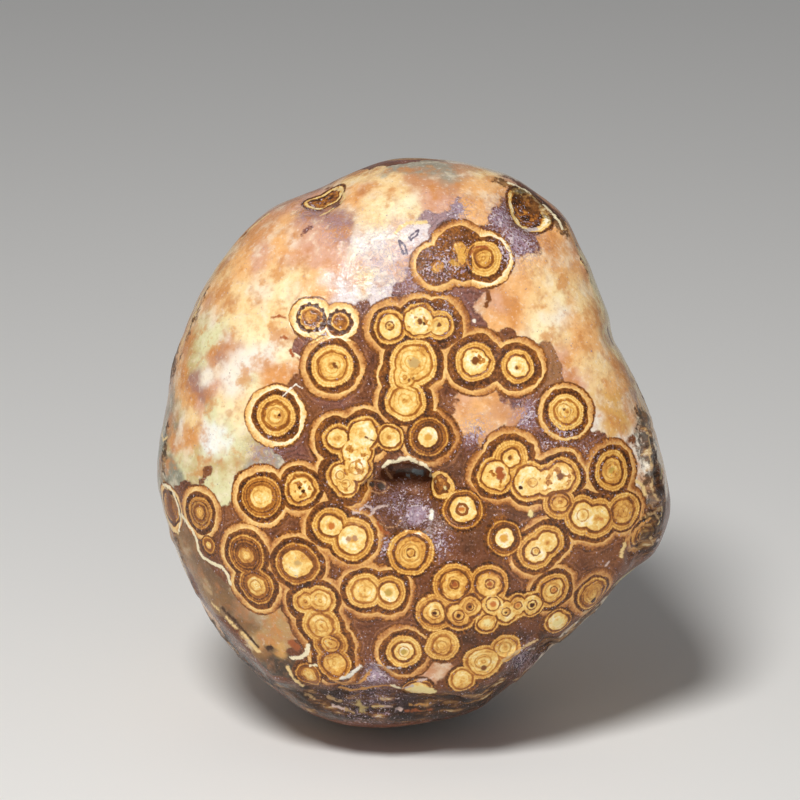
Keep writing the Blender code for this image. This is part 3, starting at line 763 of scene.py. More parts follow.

# Places with more painted glints, pale specks of glinting crystals, and a glassier bump: x, z, reach,
# strength. They lie on the face, up to this depth in mm
glintDepth = 2
glintPlaces = [
    (-2.0, 15.5, 4.0, 0.8), (9.2, 17.2, 2.2, 1.0), (7.8, 19.5, 1.4, 1.0), (4.2, 20.2, 1.3, 1.0),
    (-9.0, 20.0, 1.3, 0.8), (-6.5, 18.5, 2.0, 0.6), (9.9, 2.2, 1.3, 1.0), (5.6, 0.8, 1.5, 0.9),
    (0.4, -6.5, 1.2, 1.3), (-1.2, -5.5, 1.6, 0.6), (-4.0, -6.0, 1.3, 0.6), (2.2, -9.0, 1.2, 0.8),
    (-2.4, -9.2, 0.9, 1.0), (-8.0, 9.3, 1.0, 1.0), (2.7, 15.5, 2.2, 0.9), (-13.0, -1.0, 1.6, 0.8),
    (-3.2, -20.6, 1.2, 1.2), (2.0, 11.5, 2.5, 0.6), (-7.5, -18.5, 1.2, 0.6), (9.5, -19.0, 1.5, 0.8),
    (-4.0, -22.5, 3.0, 0.4), (13.0, 0.5, 2.0, 0.7), (16.0, -1.5, 2.0, 0.5),
]

# Chalcedony on the other sides: colour families, drawn from a fixed seed
farGround = {
    "seed": 3,
    "count": 380,
    "reach": (0.9, 2.6),
    "families": [
        ["palePeach", "cream", "peach", "orange", "whitish"],
        ["cream", "greenish", "whitish", "olive", "palePeach"],
        ["tan", "rosy", "peach", "mauve", "palePeach"],
        ["greyBlue", "greyGreen", "paleTan", "drab", "whitish"],
    ],
    "familySize": 14.0,      # mm, how far one family reaches
    "familyOffset": (3.0, 1.0, 7.0),
    "low": ["greyDark", "drabDark", "greyDark", "drab"],
    "lowBelow": 6.0,
    # only the upper flanks get patches where the camera still sees them
    "flanksAbove": 26.0,
    "grazing": 0.12,
    "flankFacing": -0.12,
    "strength": 0.8,
    # brown matrix round the eyes
    "matrix": ["warmBrown", "duskyBrown", "lilacBrown"],
    "matrixStrength": 0.9,
    "matrixReach": 0.6,      # in radii of the eye
    "matrixExtra": (0.1, 0.6),
}


# Patches of both grounds, as place, reach, strength and colour
def groundSpots():
    clear, matrix = [], []
    for patches, colours, found in (
            (clearPatches, clearColours, clear), (matrixPatches, matrixColours, matrix)):
        for name, items in patches.items():
            for x, z, reach in items:
                spot, squareness = onStone(x, z)
                if spot is None:
                    print("patch misses the stone:", name, x, z)
                    continue
                found.append((tuple(spot), reach, 1.0, hexColour(colours[name])[:3]))
    rng = random.Random(farGround["seed"])
    families = farGround["families"]
    for spot in farPoints(farGround["count"], rng, farGround["grazing"]):
        hit, normal, face, gap = surface.find_nearest(spot)
        facing = normal.dot((Vector(cameraSpot) - hit).normalized())
        if facing > farGround["flankFacing"] and spot.z < farGround["flanksAbove"]:
            continue
        pick = noise.noise(Vector(spot) / farGround["familySize"] + Vector(farGround["familyOffset"]))
        family = families[min(int((pick + 0.5) * len(families)), len(families) - 1)]
        if spot[2] < farGround["lowBelow"]:
            family = farGround["low"]
        shade = hexColour(clearColours[rng.choice(family)])[:3]
        clear.append((tuple(spot), rng.uniform(*farGround["reach"]), farGround["strength"], shade))
    for spot, sizes, *kind in eyes[len(frontEyes):]:
        shade = hexColour(matrixColours[rng.choice(farGround["matrix"])])[:3]
        reach = farGround["matrixReach"] * max(sizes[1:]) + rng.uniform(*farGround["matrixExtra"])
        matrix.append((spot, reach, farGround["matrixStrength"], shade))
    return clear, matrix


# Total strength of the patches at each place, and their mean colour there
def blend(spots, patches):
    total = np.zeros(len(spots))
    colour = np.zeros((len(spots), 3))
    allWeight = np.full(len(spots), 1e-12)
    for spot, reach, strength, shade in patches:
        gap2 = ((spots - np.array(spot)) ** 2).sum(axis=1) / reach**2
        total += strength * np.exp(-gap2)
        weight = strength * np.exp(-gap2 / groundSoftness["colours"] ** 2)
        colour += weight[:, None] * np.array(shade)
        allWeight += weight
    return total, colour / allWeight[:, None]


def storeGround(mesh):
    spots = places(mesh)
    x, z, y = seenAt(spots)
    warped = spots.copy()
    noise.seed_set(groundWarp["seed"])   # without it noise_vector is different in every run
    for size, amount in (groundWarp["slow"], groundWarp["fine"]):
        warped += amount * np.array([noise.noise_vector(Vector(p) / size) for p in spots])
    clear, matrix = groundSpots()
    clearTotal, clearColour = blend(warped, clear)
    matrixTotal, matrixColour = blend(warped, matrix)
    known = (matrixTotal / (matrixTotal + matrixFade))[:, None]
    matrixColour = known * matrixColour + (1 - known) * np.array(hexColour(matrixPlain)[:3])
    clearTotal, matrixTotal = (
        np.power(total, groundSoftness["share"]) for total in (clearTotal, matrixTotal + matrixHold))
    share = clearTotal / (clearTotal + matrixTotal)
    # share of painted glints, more near the places listed above
    glintShare = np.full(len(spots), plainGlint)
    for px, pz, reach, strength in glintPlaces:
        near = np.exp(-((x - px) ** 2 + (z - pz) ** 2) / reach**2) * (y < glintDepth)
        glintShare = np.maximum(glintShare, plainGlint + strength * near)
    for name, rows in (("groundColour", clearColour), ("matrixColour", matrixColour)):
        layer = mesh.attributes.new(name, "FLOAT_VECTOR", "POINT")
        layer.data.foreach_set("vector", rows.astype(np.float32).ravel())
    for name, rows in (("clearShare", share), ("crustShare", crustShare), ("glintShare", glintShare)):
        layer = mesh.attributes.new(name, "FLOAT", "POINT")
        layer.data.foreach_set("value", rows.astype(np.float32))


storeGround(stone.data)
print("ground stored")

# Marks drawn over eyes and ground: crust lines, cracks, holes and fine rings of the face, with painted
# highlights and painted shade among them
markColours = {   # colour, and softness of the edge in mm
    "crustCream": ("FBEBC4", 0.07), "edgeCream": ("EFCD8E", 0.10), "crustPale": ("CBAA7A", 0.10),
    "paleTan": ("BE9A6C", 0.12), "tanEdge": ("B98A62", 0.08), "rosyWhite": ("DCC0B4", 0.08),
    # glint and gloss are painted highlights
    "glint": ("F6EEDC", 0.10), "glossHighlight": ("CDBDB6", 0.10), "whitish": ("F4E6D2", 0.05),
    "paleYellow": ("F2DC98", 0.12), "oliveCream": ("C4AA70", 0.25), "bandOrange": ("D99C56", 0.10),
    "rust": ("A65A2E", 0.12), "rustOrange": ("C87635", 0.12), "brown": ("7C4822", 0.08),
    "deepBrown": ("4A2410", 0.05), "umber": ("452A18", 0.12), "shade": ("4E3D31", 0.12),
    "inkGrey": ("665866", 0.05), "slate": ("7C8486", 0.10), "pitBrown": ("8A5832", 0.16),
    "greyCore": ("C8A468", 0.12), "ochre": ("DCA248", 0.12), "oliveSpot": ("BE9C4C", 0.12),
    "ringBrown": ("8A5024", 0.05), "scallopBrown": ("54301C", 0.05), "ringTan": ("C98E44", 0.05),
}
markRanks = 3
# Dark lobes round an eye: colour, x, z, radius of the wreath, radius of a lobe, number
scallops = [
    ("scallopBrown", -8.85, 10.75, 1.16, 0.21, 11),
    ("scallopBrown", -6.3, 10.4, 0.98, 0.19, 10),
]
# Lines: colour, width, path of (x, z)
strokes = [
    # crusty rim of the hollow, its dark inside with painted shade, the pits beside it with painted
    # shade, and a painted glint below
    ("shade", 0.44, [(-1.25, -2.8), (-0.2, -2.8), (0.9, -2.9)]),
    ("slate", 0.44, [(0.25, -2.7), (0.8, -2.9)]),
    ("slate", 0.21, [(-0.6, -3.0), (-0.2, -3.15)]),
    ("deepBrown", 0.44, [(-1.4, -3.15), (-0.7, -3.0)]),
    ("tanEdge", 0.23, [(-2.35, -2.45), (-2.1, -2.9), (-1.85, -3.35)]),
    ("crustCream", 0.35, [(-2.45, -2.4), (-2.0, -1.95), (-1.4, -2.0), (-1.05, -1.7), (-0.25, -1.6),
        (0.35, -1.9)]),
    ("crustCream", 0.3, [(0.7, -2.05), (1.15, -2.2), (1.5, -2.65), (1.65, -3.05)]),
    ("tanEdge", 0.16, [(-4.4, -3.95), (-4.05, -3.55), (-3.5, -3.45), (-2.9, -3.6), (-2.35, -3.8),
        (-2.45, -4.1)]),
    ("tanEdge", 0.14, [(-3.5, -4.5), (-3.0, -4.65), (-2.3, -4.5), (-1.95, -4.1)]),
    ("rosyWhite", 0.15, [(-4.55, -6.15), (-4.1, -5.75), (-3.7, -5.9), (-3.35, -6.3), (-3.7, -6.65)]),
    ("rosyWhite", 0.16, [(-3.35, -6.1), (-2.8, -5.85), (-2.1, -5.8)]),
    ("rosyWhite", 0.18, [(-5.2, -6.4), (-4.65, -6.4)]),
    ("glint", 0.35, [(1.75, -6.25), (1.65, -6.85)]),
    ("rust", 0.25, [(-3.0, -7.35), (-2.65, -8.0), (-1.95, -8.3)]),
    ("tanEdge", 0.11, [(-2.8, -7.35), (-2.1, -7.7), (-1.4, -7.6), (-1.05, -7.1)]),
    # cracks and stains
    ("whitish", 0.11, [(-11.3, 3.85), (-10.7, 4.5), (-10.2, 4.85), (-9.65, 4.55)]),
    ("rust", 0.18, [(-12.3, 10.75), (-11.65, 10.85), (-11.05, 10.65)]),
    ("rust", 0.25, [(-11.5, 8.9), (-11.25, 9.05), (-10.9, 8.85)]),
    ("rust", 0.35, [(-10.7, 7.8), (-10.45, 7.45)]),
    ("rust", 0.16, [(-10.2, 7.25), (-9.8, 7.0)]),
    ("brown", 0.39, [(6.65, 13.0), (6.75, 12.3), (6.5, 11.75)]),
    ("brown", 0.12, [(-4.1, 0.25), (-3.6, 0.0), (-3.15, -0.1)]),
    ("rust", 0.14, [(-11.5, 2.35), (-11.65, 1.95)]),
    # left and upper left edge
    ("brown", 0.23, [(-18.7, 12.3), (-19.4, 10.8), (-19.9, 9.55)]),
    ("edgeCream", 0.19, [(-18.15, 13.15), (-18.6, 12.3), (-18.95, 11.25), (-19.45, 10.1),
        (-20.0, 8.95), (-20.2, 8.35)]),
    ("edgeCream", 0.21, [(-12.65, 19.8), (-13.4, 19.2), (-14.3, 18.4), (-14.9, 17.7)]),
    ("edgeCream", 0.16, [(-21.75, 1.4), (-21.95, 0.7), (-21.8, 0.0), (-21.5, 0.2)]),
    ("edgeCream", 0.19, [(-21.65, -6.6), (-21.1, -7.7), (-20.55, -8.15)]),
    ("brown", 0.61, [(-21.4, -4.75), (-21.25, -5.8), (-20.9, -7.0)]),
    ("crustCream", 0.25, [(-21.85, -3.85), (-21.25, -4.2), (-20.7, -5.25), (-20.35, -6.6),
        (-20.45, -7.9)]),
    ("crustCream", 0.28, [(-20.2, -6.6), (-19.8, -7.2), (-19.3, -7.9), (-18.9, -8.7), (-18.75, -9.65),
        (-18.35, -10.3), (-17.45, -10.85), (-16.65, -11.2), (-16.15, -11.85), (-15.95, -12.65)]),
    # lower left edge
    ("umber", 0.26, [(-16.65, -14.75), (-15.45, -15.95), (-14.2, -17.35), (-13.5, -18.15)]),
    ("edgeCream", 0.3, [(-16.3, -15.6), (-15.9, -16.0), (-15.45, -16.5)]),
    ("edgeCream", 0.26, [(-14.9, -16.95), (-14.45, -17.4)]),
    ("edgeCream", 0.32, [(-14.2, -17.8), (-13.75, -18.3), (-13.5, -18.55)]),
    ("paleTan", 0.39, [(-18.15, -12.9), (-17.65, -13.4)]),
    ("edgeCream", 0.23, [(-17.55, -14.3), (-17.0, -14.9)]),
    ("paleTan", 0.19, [(-15.1, -18.25), (-14.05, -19.1)]),
    ("umber", 0.44, [(-12.7, -18.25), (-12.35, -18.2)]),
    ("edgeCream", 0.25, [(-10.95, -19.9), (-10.6, -20.6), (-10.1, -21.2), (-9.55, -21.6)]),
    ("rust", 0.61, [(-10.55, -17.8), (-10.1, -18.25)]),
    ("crustCream", 0.35, [(-10.55, -19.15), (-9.8, -19.1), (-9.25, -18.7), (-9.1, -18.05)]),
    ("crustCream", 0.21, [(-8.95, -19.8), (-8.4, -19.75)]),
    # ledges at the foot, with painted highlights along them
    ("bandOrange", 0.26, [(-6.65, -21.15), (-5.9, -21.45), (-4.9, -21.4), (-4.2, -20.95),
        (-3.7, -20.25)]),
    ("glint", 0.3, [(-6.25, -20.95), (-5.6, -20.8), (-5.1, -20.35), (-4.55, -19.9)]),
    ("glossHighlight", 0.14, [(-3.0, -19.75), (-2.1, -20.0), (-1.05, -20.0)]),
    ("bandOrange", 0.23, [(-6.3, -21.7), (-5.25, -21.95), (-4.05, -21.8), (-2.8, -21.6),
        (-1.65, -21.55)]),
    ("crustCream", 0.35, [(-1.65, -21.6), (-1.15, -21.8)]),
    ("paleYellow", 0.83, [(0.35, -21.85), (1.6, -22.05)]),
    ("glossHighlight", 0.18, [(-0.8, -21.8), (0.0, -21.6)]),
    ("rosyWhite", 0.19, [(0.55, -21.15), (1.25, -21.0)]),
    ("oliveCream", 0.61, [(-4.75, -23.15), (-4.3, -23.5)]),
    ("edgeCream", 0.21, [(-3.35, -23.4), (-2.45, -23.35)]),
    ("rosyWhite", 0.25, [(-2.3, -23.35), (-0.95, -23.65)]),
    ("bandOrange", 0.19, [(-0.2, -23.2), (1.4, -23.25)]),
    ("rust", 0.18, [(-0.6, -23.75), (1.6, -23.65)]),
    ("paleTan", 0.32, [(-7.3, -22.55), (-6.25, -22.9)]),
    ("rosyWhite", 0.26, [(-6.95, -23.25), (-5.95, -23.6)]),
    ("paleTan", 0.16, [(-5.8, -23.6), (-5.1, -23.95)]),
    ("paleTan", 0.26, [(-9.3, -22.3), (-8.6, -22.7)]),
    # crusts at the lower right edge, with painted highlights on them
    ("crustPale", 0.19, [(8.0, -19.35), (8.6, -19.0), (9.2, -18.6), (9.75, -18.2), (10.35, -17.85),
        (11.05, -17.55)]),
    ("glossHighlight", 0.18, [(10.35, -18.4), (10.8, -18.25)]),
    ("crustPale", 0.23, [(9.05, -21.05), (9.65, -20.6), (10.2, -20.05)]),
    ("glossHighlight", 0.21, [(10.1, -20.1), (10.45, -19.8)]),
    ("crustPale", 0.16, [(15.1, -15.1), (15.8, -14.8), (16.3, -14.5)]),
    ("crustPale", 0.13, [(13.7, -16.85), (14.2, -16.25), (14.75, -15.65), (15.25, -15.15)]),
    # crusts down the knob on the right, with a painted highlight
    ("crustPale", 0.18, [(20.55, 1.3), (20.7, 0.55), (20.9, -0.45), (20.75, -1.05), (21.0, -1.95),
        (21.15, -3.05), (21.0, -4.05), (21.25, -4.8), (21.6, -5.25)]),
    ("slate", 0.16, [(21.3, 0.0), (21.6, -1.05)]),
    ("oliveCream", 0.16, [(21.65, -2.0), (21.9, -2.65), (21.85, -3.35)]),
    ("edgeCream", 0.19, [(21.95, -5.95), (21.85, -6.65), (21.65, -7.3)]),
    ("paleTan", 0.23, [(20.7, -6.55), (21.3, -6.4), (21.6, -6.85)]),
    ("glossHighlight", 0.18, [(21.5, -8.85), (21.85, -8.5)]),
    ("crustPale", 0.14, [(20.95, -8.6), (21.15, -9.2)]),
    ("edgeCream", 0.32, [(18.7, -9.1), (18.5, -9.65), (18.4, -10.2)]),
    ("edgeCream", 0.28, [(19.75, -3.6), (20.25, -4.1), (20.45, -4.75)]),
    ("bandOrange", 0.23, [(20.9, -6.9), (20.0, -7.55), (19.3, -8.4), (18.7, -8.85)]),
    ("rosyWhite", 0.16, [(17.0, -11.05), (17.25, -10.7)]),
    # crust lines and pits along the upper right edge, with a painted highlight
    ("umber", 0.26, [(10.2, 22.0), (11.4, 21.05), (12.65, 19.8)]),
    ("crustCream", 0.19, [(8.4, 22.55), (9.3, 22.25), (10.35, 21.65)]),
    ("crustCream", 0.23, [(11.6, 20.6), (12.1, 20.1), (12.55, 19.55), (13.0, 19.05), (13.25, 18.5)]),
    ("glossHighlight", 0.4, [(10.0, 18.4), (10.8, 18.5)]),
    ("edgeCream", 0.16, [(14.8, 15.6), (15.25, 15.1), (15.6, 14.4), (15.9, 13.7)]),
    ("pitBrown", 0.44, [(17.2, 9.55), (17.55, 8.6)]),
    ("edgeCream", 0.23, [(17.0, 10.0), (16.75, 9.4), (16.9, 8.75), (17.3, 8.15), (17.7, 7.8)]),
    # pit near the top left
    ("edgeCream", 0.18, [(-6.85, 22.05), (-6.15, 21.95), (-5.9, 21.3), (-6.25, 20.8)]),
    ("edgeCream", 0.19, [(-6.95, 20.3), (-7.35, 20.0), (-8.0, 19.7)]),
    # worn eye in the bright patch above
    ("edgeCream", 0.3, [(-1.4, 18.25), (-1.05, 18.7), (-0.45, 19.0), (0.35, 19.1), (1.15, 19.1)]),
    ("inkGrey", 0.17, [(-1.15, 17.45), (-0.9, 17.3), (-0.6, 16.95), (-0.45, 16.4), (-0.75, 16.3),
        (-0.95, 16.8), (-1.15, 17.45)]),
    ("inkGrey", 0.16, [(-0.25, 17.8), (0.1, 18.1), (0.55, 18.4), (0.45, 18.0), (-0.1, 17.55),
        (-0.25, 17.8)]),
    ("rust", 0.19, [(5.2, 16.4), (5.45, 16.85), (6.05, 17.0), (6.65, 16.85)]),
    ("ochre", 0.61, [(4.2, 16.6), (4.45, 15.95)]),
    ("ochre", 0.44, [(3.5, 15.6), (3.95, 15.35)]),
]
# Centres of eyes, holes and small patches: colour, radius, places
spots = [
    ("deepBrown", 0.26, [(-1.85, -2.45)]),
    ("shade", 0.26, [(-3.6, -3.9)]),
    ("shade", 0.35, [(-2.7, -4.1)]),
    ("brown", 0.15, [(-6.85, 6.7), (-6.65, 6.4)]),
    ("deepBrown", 0.11, [(-11.65, 2.2)]),
    ("brown", 0.11, [(-2.0, 10.1), (-1.75, 9.85)]),
    ("brown", 0.26, [(0.7, 10.4)]),
    ("deepBrown", 0.11, [(1.05, 10.2)]),
    ("brown", 0.16, [(2.4, 10.1)]),
    ("greyCore", 0.44, [(0.15, 6.75)]),
    ("brown", 0.14, [(-0.25, 5.25), (0.1, 5.35)]),
    ("ochre", 0.32, [(1.45, 0.25)]),
    ("deepBrown", 0.16, [(-9.85, -4.2), (-9.55, -4.5)]),
    ("brown", 0.35, [(5.55, 6.95)]),
    ("brown", 0.15, [(9.2, 6.3)]),
    ("brown", 0.12, [(13.35, 2.7)]),
    ("brown", 0.19, [(8.6, -1.55)]),
    ("rust", 0.35, [(7.8, -3.15), (7.65, -2.7)]),
    ("deepBrown", 0.18, [(9.55, -4.2)]),
    ("brown", 0.32, [(13.05, -3.2)]),
    ("rustOrange", 0.26, [(4.4, -6.1)]),
    ("paleYellow", 0.13, [(2.1, -3.6), (2.9, -4.2)]),
    ("rustOrange", 0.25, [(-7.1, -7.55)]),
    ("tanEdge", 0.23, [(-5.0, -8.65), (-5.55, -8.7)]),
    ("oliveSpot", 0.26, [(-2.05, -13.4), (-0.7, -18.6), (17.55, -2.65)]),
    ("rust", 0.22, [(3.75, -12.7), (6.85, -12.65)]),
    ("deepBrown", 0.16, [(2.0, -15.2)]),
    ("deepBrown", 0.18, [(4.1, -15.4)]),
    ("deepBrown", 0.12, [(5.1, -14.65), (8.25, -15.1)]),
    ("deepBrown", 0.23, [(10.55, -14.5)]),
    ("rustOrange", 0.21, [(9.3, -14.55)]),
    ("rustOrange", 0.26, [(7.1, -14.4)]),
    ("rustOrange", 0.18, [(12.45, -13.15)]),
    ("ochre", 0.35, [(8.05, -8.65)]),
    ("rustOrange", 0.16, [(16.65, -6.9)]),
    ("paleYellow", 0.26, [(10.45, -6.5)]),
    ("paleYellow", 0.32, [(6.6, -16.05)]),
    ("greyCore", 0.26, [(-10.1, -10.8)]),
    ("paleYellow", 0.32, [(12.65, -16.05), (13.0, -15.9)]),
    ("whitish", 0.16, [(5.45, 10.45)]),
    ("brown", 0.26, [(6.3, -20.0), (5.95, -21.15)]),
    ("deepBrown", 0.26, [(15.95, -14.05)]),
]
# Fine rings inside the eyes: colour, width, places and radii
fineRings = [
    ("ringBrown", 0.26, [(4.4, -6.1, 0.46)]),
    ("ringBrown", 0.16, [(3.75, -12.7, 0.36), (6.85, -12.65, 0.40), (12.45, -13.15, 0.32)]),
    ("ringBrown", 0.12, [(-1.95, 10.0, 0.35), (-0.1, -9.9, 0.35), (2.1, -15.2, 0.32),
        (4.1, -15.4, 0.47), (5.1, -14.65, 0.32), (8.25, -15.1, 0.37), (9.3, -14.55, 0.33),
        (10.55, -14.5, 0.44), (10.85, -9.8, 0.35), (7.1, -14.4, 0.61), (-17.85, -9.25, 0.39)]),
    ("ringTan", 0.11, [(-11.95, 2.1, 0.7), (-0.1, -9.9, 0.75), (5.1, -14.65, 0.56),
        (10.6, -3.75, 0.39), (15.0, -6.6, 0.53), (15.9, -13.5, 0.48), (15.9, -13.5, 0.83),
        (-18.6, -6.4, 0.48), (-18.6, -6.4, 0.92), (-18.6, -6.4, 1.23), (-14.55, -10.1, 0.53),
        (-13.7, -12.8, 0.53), (-0.7, -18.6, 0.48), (2.65, -18.05, 0.44), (-8.0, -16.3, 0.53),
        (6.25, -19.45, 0.7), (8.15, -18.25, 0.53), (17.55, -2.65, 0.7), (13.35, 2.55, 0.61),
        (-6.3, -3.1, 0.35), (-5.8, -3.85, 0.35), (-4.9, -2.45, 0.57), (12.35, -13.25, 0.7)]),
]


# Every mark as start, end, (ring radius, half width, softness) and colour
def placeMarks():
    marks = []

    def addMark(a, b, ring, width, colour):
        (start, square), (end, alsoSquare) = onStone(*a), onStone(*b)
        if start is None or end is None:
            print("mark misses the stone:", colour, a, b)
            return
        # lines that the camera sees at a grazing angle are wider on the stone
        wider = max(0.3, (square + alsoSquare) / 2) ** -0.3 if ring == 0 and a != b else 1.0
        code, softness = markColours[colour]
        look = (ring, wider * width / 2, softness)
        marks.append((tuple(start), tuple(end), look, hexColour(code)[:3]))

    for colour, width, path in strokes:
        for a, b in zip(path[:-1], path[1:]):
            addMark(a, b, 0.0, width, colour)
    for colour, width, items in fineRings:
        for x, z, ring in items:
            addMark((x, z), (x, z), ring, width, colour)
    for colour, x, z, ring, radius, count in scallops:
        for i in range(count):
            turn = 2 * math.pi * i / count
            place = (x + ring * math.cos(turn), z + ring * math.sin(turn))
            addMark(place, place, 0.0, 2 * radius, colour)
    for colour, radius, items in spots:
        for place in items:
            addMark(place, place, 0.0, 2 * radius, colour)
    return marks


def storeMarks(mesh):
    middles = readRows(mesh.polygons, "center") / mm
    start, end, look, shade = (np.array(column) for column in zip(*placeMarks()))
    gaps = np.empty((len(middles), len(start)), np.float32)
    for i in range(len(start)):
        along = end[i] - start[i]
        share = np.clip((middles - start[i]) @ along / max(along @ along, 1e-9), 0, 1)
        gap = np.linalg.norm(middles - start[i] - share[:, None] * along, axis=1)
        gaps[:, i] = np.abs(gap - look[i, 0]) - look[i, 1]
    nearest = np.argsort(gaps, axis=1)[:, :markRanks]
    ranks = np.sort(nearest, axis=1)   # later marks lie over earlier ones
    storeRanks(mesh, {"markStart": start, "markEnd": end, "markLook": look, "markColour": shade}, ranks)
    print("marks stored:", len(start))


storeMarks(stone.data)


# The agate's material; the node helpers below all work in its tree
agate = bpy.data.materials.new("eye agate")
agate.use_nodes = True
tree = agate.node_tree


# Small node helpers: each puts a node in the tree and gives back its output
def putNode(kind, inputs, out=0, **settings):
    node = tree.nodes.new(kind)
    for name, value in settings.items():
        setattr(node, name, value)
    for name, value in inputs.items():
        socket = node.inputs[name]
        if isinstance(value, bpy.types.NodeSocket):
            tree.links.new(value, socket)
        else:
            socket.default_value = value
    return node.outputs[out]


def calc(operation, a, b=0.0, clamp=False):
    return putNode("ShaderNodeMath", {0: a, 1: b}, operation=operation, use_clamp=clamp)


def plus(a, b):
    return calc("ADD", a, b)


def minus(a, b):
    return calc("SUBTRACT", a, b)


def times(a, b):
    return calc("MULTIPLY", a, b)


def addScaled(a, b, factor):
    return putNode("ShaderNodeMath", {0: b, 1: factor, 2: a}, operation="MULTIPLY_ADD")


# A value made uneven by the noises of those names
def stirred(value, noises, **amounts):
    for name, amount in amounts.items():
        value = addScaled(value, noises[name], amount)
    return value


# Sine with one wave in every step of the value
def waves(value, step):
    return calc("SINE", times(value, 2 * math.pi / step))


def calcVector(operation, a, b=(0, 0, 0), out=0):
    return putNode("ShaderNodeVectorMath", {0: a, 1: b}, out=out, operation=operation)


def scaled(vector, factor):
    return putNode("ShaderNodeVectorMath", {0: vector, "Scale": factor}, operation="SCALE")


def length(vector):
    return putNode("ShaderNodeVectorMath", {0: vector}, out="Value", operation="LENGTH")


def parts(vector):
    node = tree.nodes.new("ShaderNodeSeparateXYZ")
    tree.links.new(vector, node.inputs[0])
    return node.outputs


# Smooth change from low to high as the value goes from start to end
def ease(value, start, end, low=0.0, high=1.0):
    return putNode("ShaderNodeMapRange", {
        "Value": value, "From Min": start, "From Max": end, "To Min": low, "To Max": high,
    }, interpolation_type="SMOOTHSTEP")


def mixValue(share, a, b):
    return putNode("ShaderNodeMix", {0: share, 2: a, 3: b}, data_type="FLOAT")


def mixVector(share, a, b):
    return putNode("ShaderNodeMix", {0: share, 4: a, 5: b}, out=1, data_type="VECTOR")


def mixColour(share, a, b):
    return putNode("ShaderNodeMix", {0: share, 6: a, 7: b}, out=2, data_type="RGBA")


# Noise around 0 with lumps of that size in mm; out 1 gives a vector
def noiseField(vector, size, detail=2.0, rough=0.5, offset=None, out=0):
    if offset:
        vector = calcVector("ADD", vector, offset)
    value = putNode("ShaderNodeTexNoise", {
        "Vector": vector, "Scale": 1.0 / size, "Detail": detail, "Roughness": rough,
    }, out=out)
    if out == 1:
        return calcVector("SUBTRACT", value, (0.5, 0.5, 0.5))
    return minus(value, 0.5)


def stored(name, out="Vector"):
    node = tree.nodes.new("ShaderNodeAttribute")
    node.attribute_name = name
    return node.outputs[out]


def ramp(value, stops):
    node = tree.nodes.new("ShaderNodeValToRGB")
    band = node.color_ramp
    while len(band.elements) > 1:
        band.elements.remove(band.elements[-1])
    band.elements[0].position = stops[0][0]
    band.elements[0].color = hexColour(stops[0][1])
    for position, code in stops[1:]:
        band.elements.new(position).color = hexColour(code)
    tree.links.new(value, node.inputs[0])
    return node.outputs[0]


# Lengths in mm, except bumpDepth
agateLook = {
    "wobble": 0.45,          # slow wobble of the rings: size of the shift for noise of 1
    "wobbleSize": 2.4,
    "lumps": 0.20,           # rounded lumps in the rings' edges
    "lumpSize": 0.75,
    "fray": 0.13,            # fine raggedness
    "fraySize": 0.26,
    "teeth": 0.22,           # fine teeth on the halo's edge
    "toothTurn": 15.0,       # teeth round an eye: the more, the finer
    "edge": 0.065,           # half width of a colour's edge
    "coreRings": 0.46,       # from one fine ring of a core to the next
    "coreRingDepth": 0.30,
    "holeTone": 0.62,
    "haloLines": 0.27,
    "haloLineDepth": 0.085,
    "darkTones": (0.86, 0.77),   # dark zone: at the halo and further out
    "bandWidth": 0.23,       # half width of the light outer band
    "bandShadow": 0.15,      # thin dark line outside the band
    "rosyBands": 0.4,        # share of the rosier colours on the bands
    "matrixLines": 0.45,     # from one faint line round an eye to the next
    "crustCover": 0.86,
    "glintSpeckSize": 0.19,
    "specular": 0.08,
    "coat": 0.55,
    "coatRoughness": 0.06,
    "coatBump": 0.45,
    "roughness": 0.27,
    "bumpDepth": 0.00008,    # m
}
# size in mm, detail, roughness and offset of the noises that more than one part of the look uses
noiseKinds = {
    "fine": (0.22, 3.0, 0.6, None),
    "cloudy": (1.3, 3.0, 0.55, None),
    "slow": (1.9, 1.0, 0.5, (4.0, 8.0, 1.0)),
    "holes": (0.60, 1.5, 0.5, (3.1, 7.7, 1.9)),
    "mottle": (2.0, 4.0, 0.6, (11.0, 3.0, 5.0)),
    "grainy": (0.38, 3.0, 0.6, (2.0, 9.0, 4.0)),
    "veins": (3.2, 3.0, 0.5, (1.0, 6.0, 12.0)),
    "patchy": (1.6, 3.0, 0.55, (7.0, 2.0, 6.0)),
}
toneStops = [
    (0.00, "FFF3D6"), (0.13, "FDE3A6"), (0.26, "F5CE7A"), (0.38, "E9B35C"), (0.50, "D29545"),
    (0.62, "B4722E"), (0.72, "8E5320"), (0.82, "6A3C17"), (0.91, "4A290F"), (1.00, "301A0A"),
]
# the outer bands are paler and rosier than the cores
bandStops = [
    (0.00, "FFF3DE"), (0.13, "FDE3BA"), (0.26, "F5CE98"), (0.38, "E6B47E"), (0.50, "D0976A"),
    (0.62, "B4764C"), (0.72, "8E5836"), (0.82, "6A4026"), (1.00, "301A10"),
]
crustStops = [(0.25, "150C07"), (0.46, "38210F"), (0.59, "6E4522"), (0.70, "AC8049"), (0.81, "EED8A8")]
# colours of the painted glints
glintSpeckColours = ("A98A98", "E6D2D4")
crackleColour = "A893A6"
veinColour = "C27A42"
# Tints over the chalcedony and the matrix: noise, start, end, strength, colour.
# The dull colours of the chalcedony take less of brightTints and lightGrains.
brightTints = [("mottle", 0.00, 0.18, 0.52, "FAEACA"), ("mottle", -0.01, -0.17, 0.75, "D08A48")]
clearTints = [("cloudy", 0.02, 0.22, 0.36, "C08A64"), ("grainy", 0.04, 0.20, 0.25, "B27C54")]
lightGrains = [("grainy", -0.06, -0.20, 0.30, "FAF0DC")]
matrixTints = [
    ("uneven", 0.05, 0.75, 0.50, "B97C50"), ("uneven", -0.05, -0.75, 0.60, "3A2012"),
    ("fine", 0.03, 0.22, 0.45, "A87A66"), ("fine", -0.03, -0.22, 0.60, "331B10"),
]


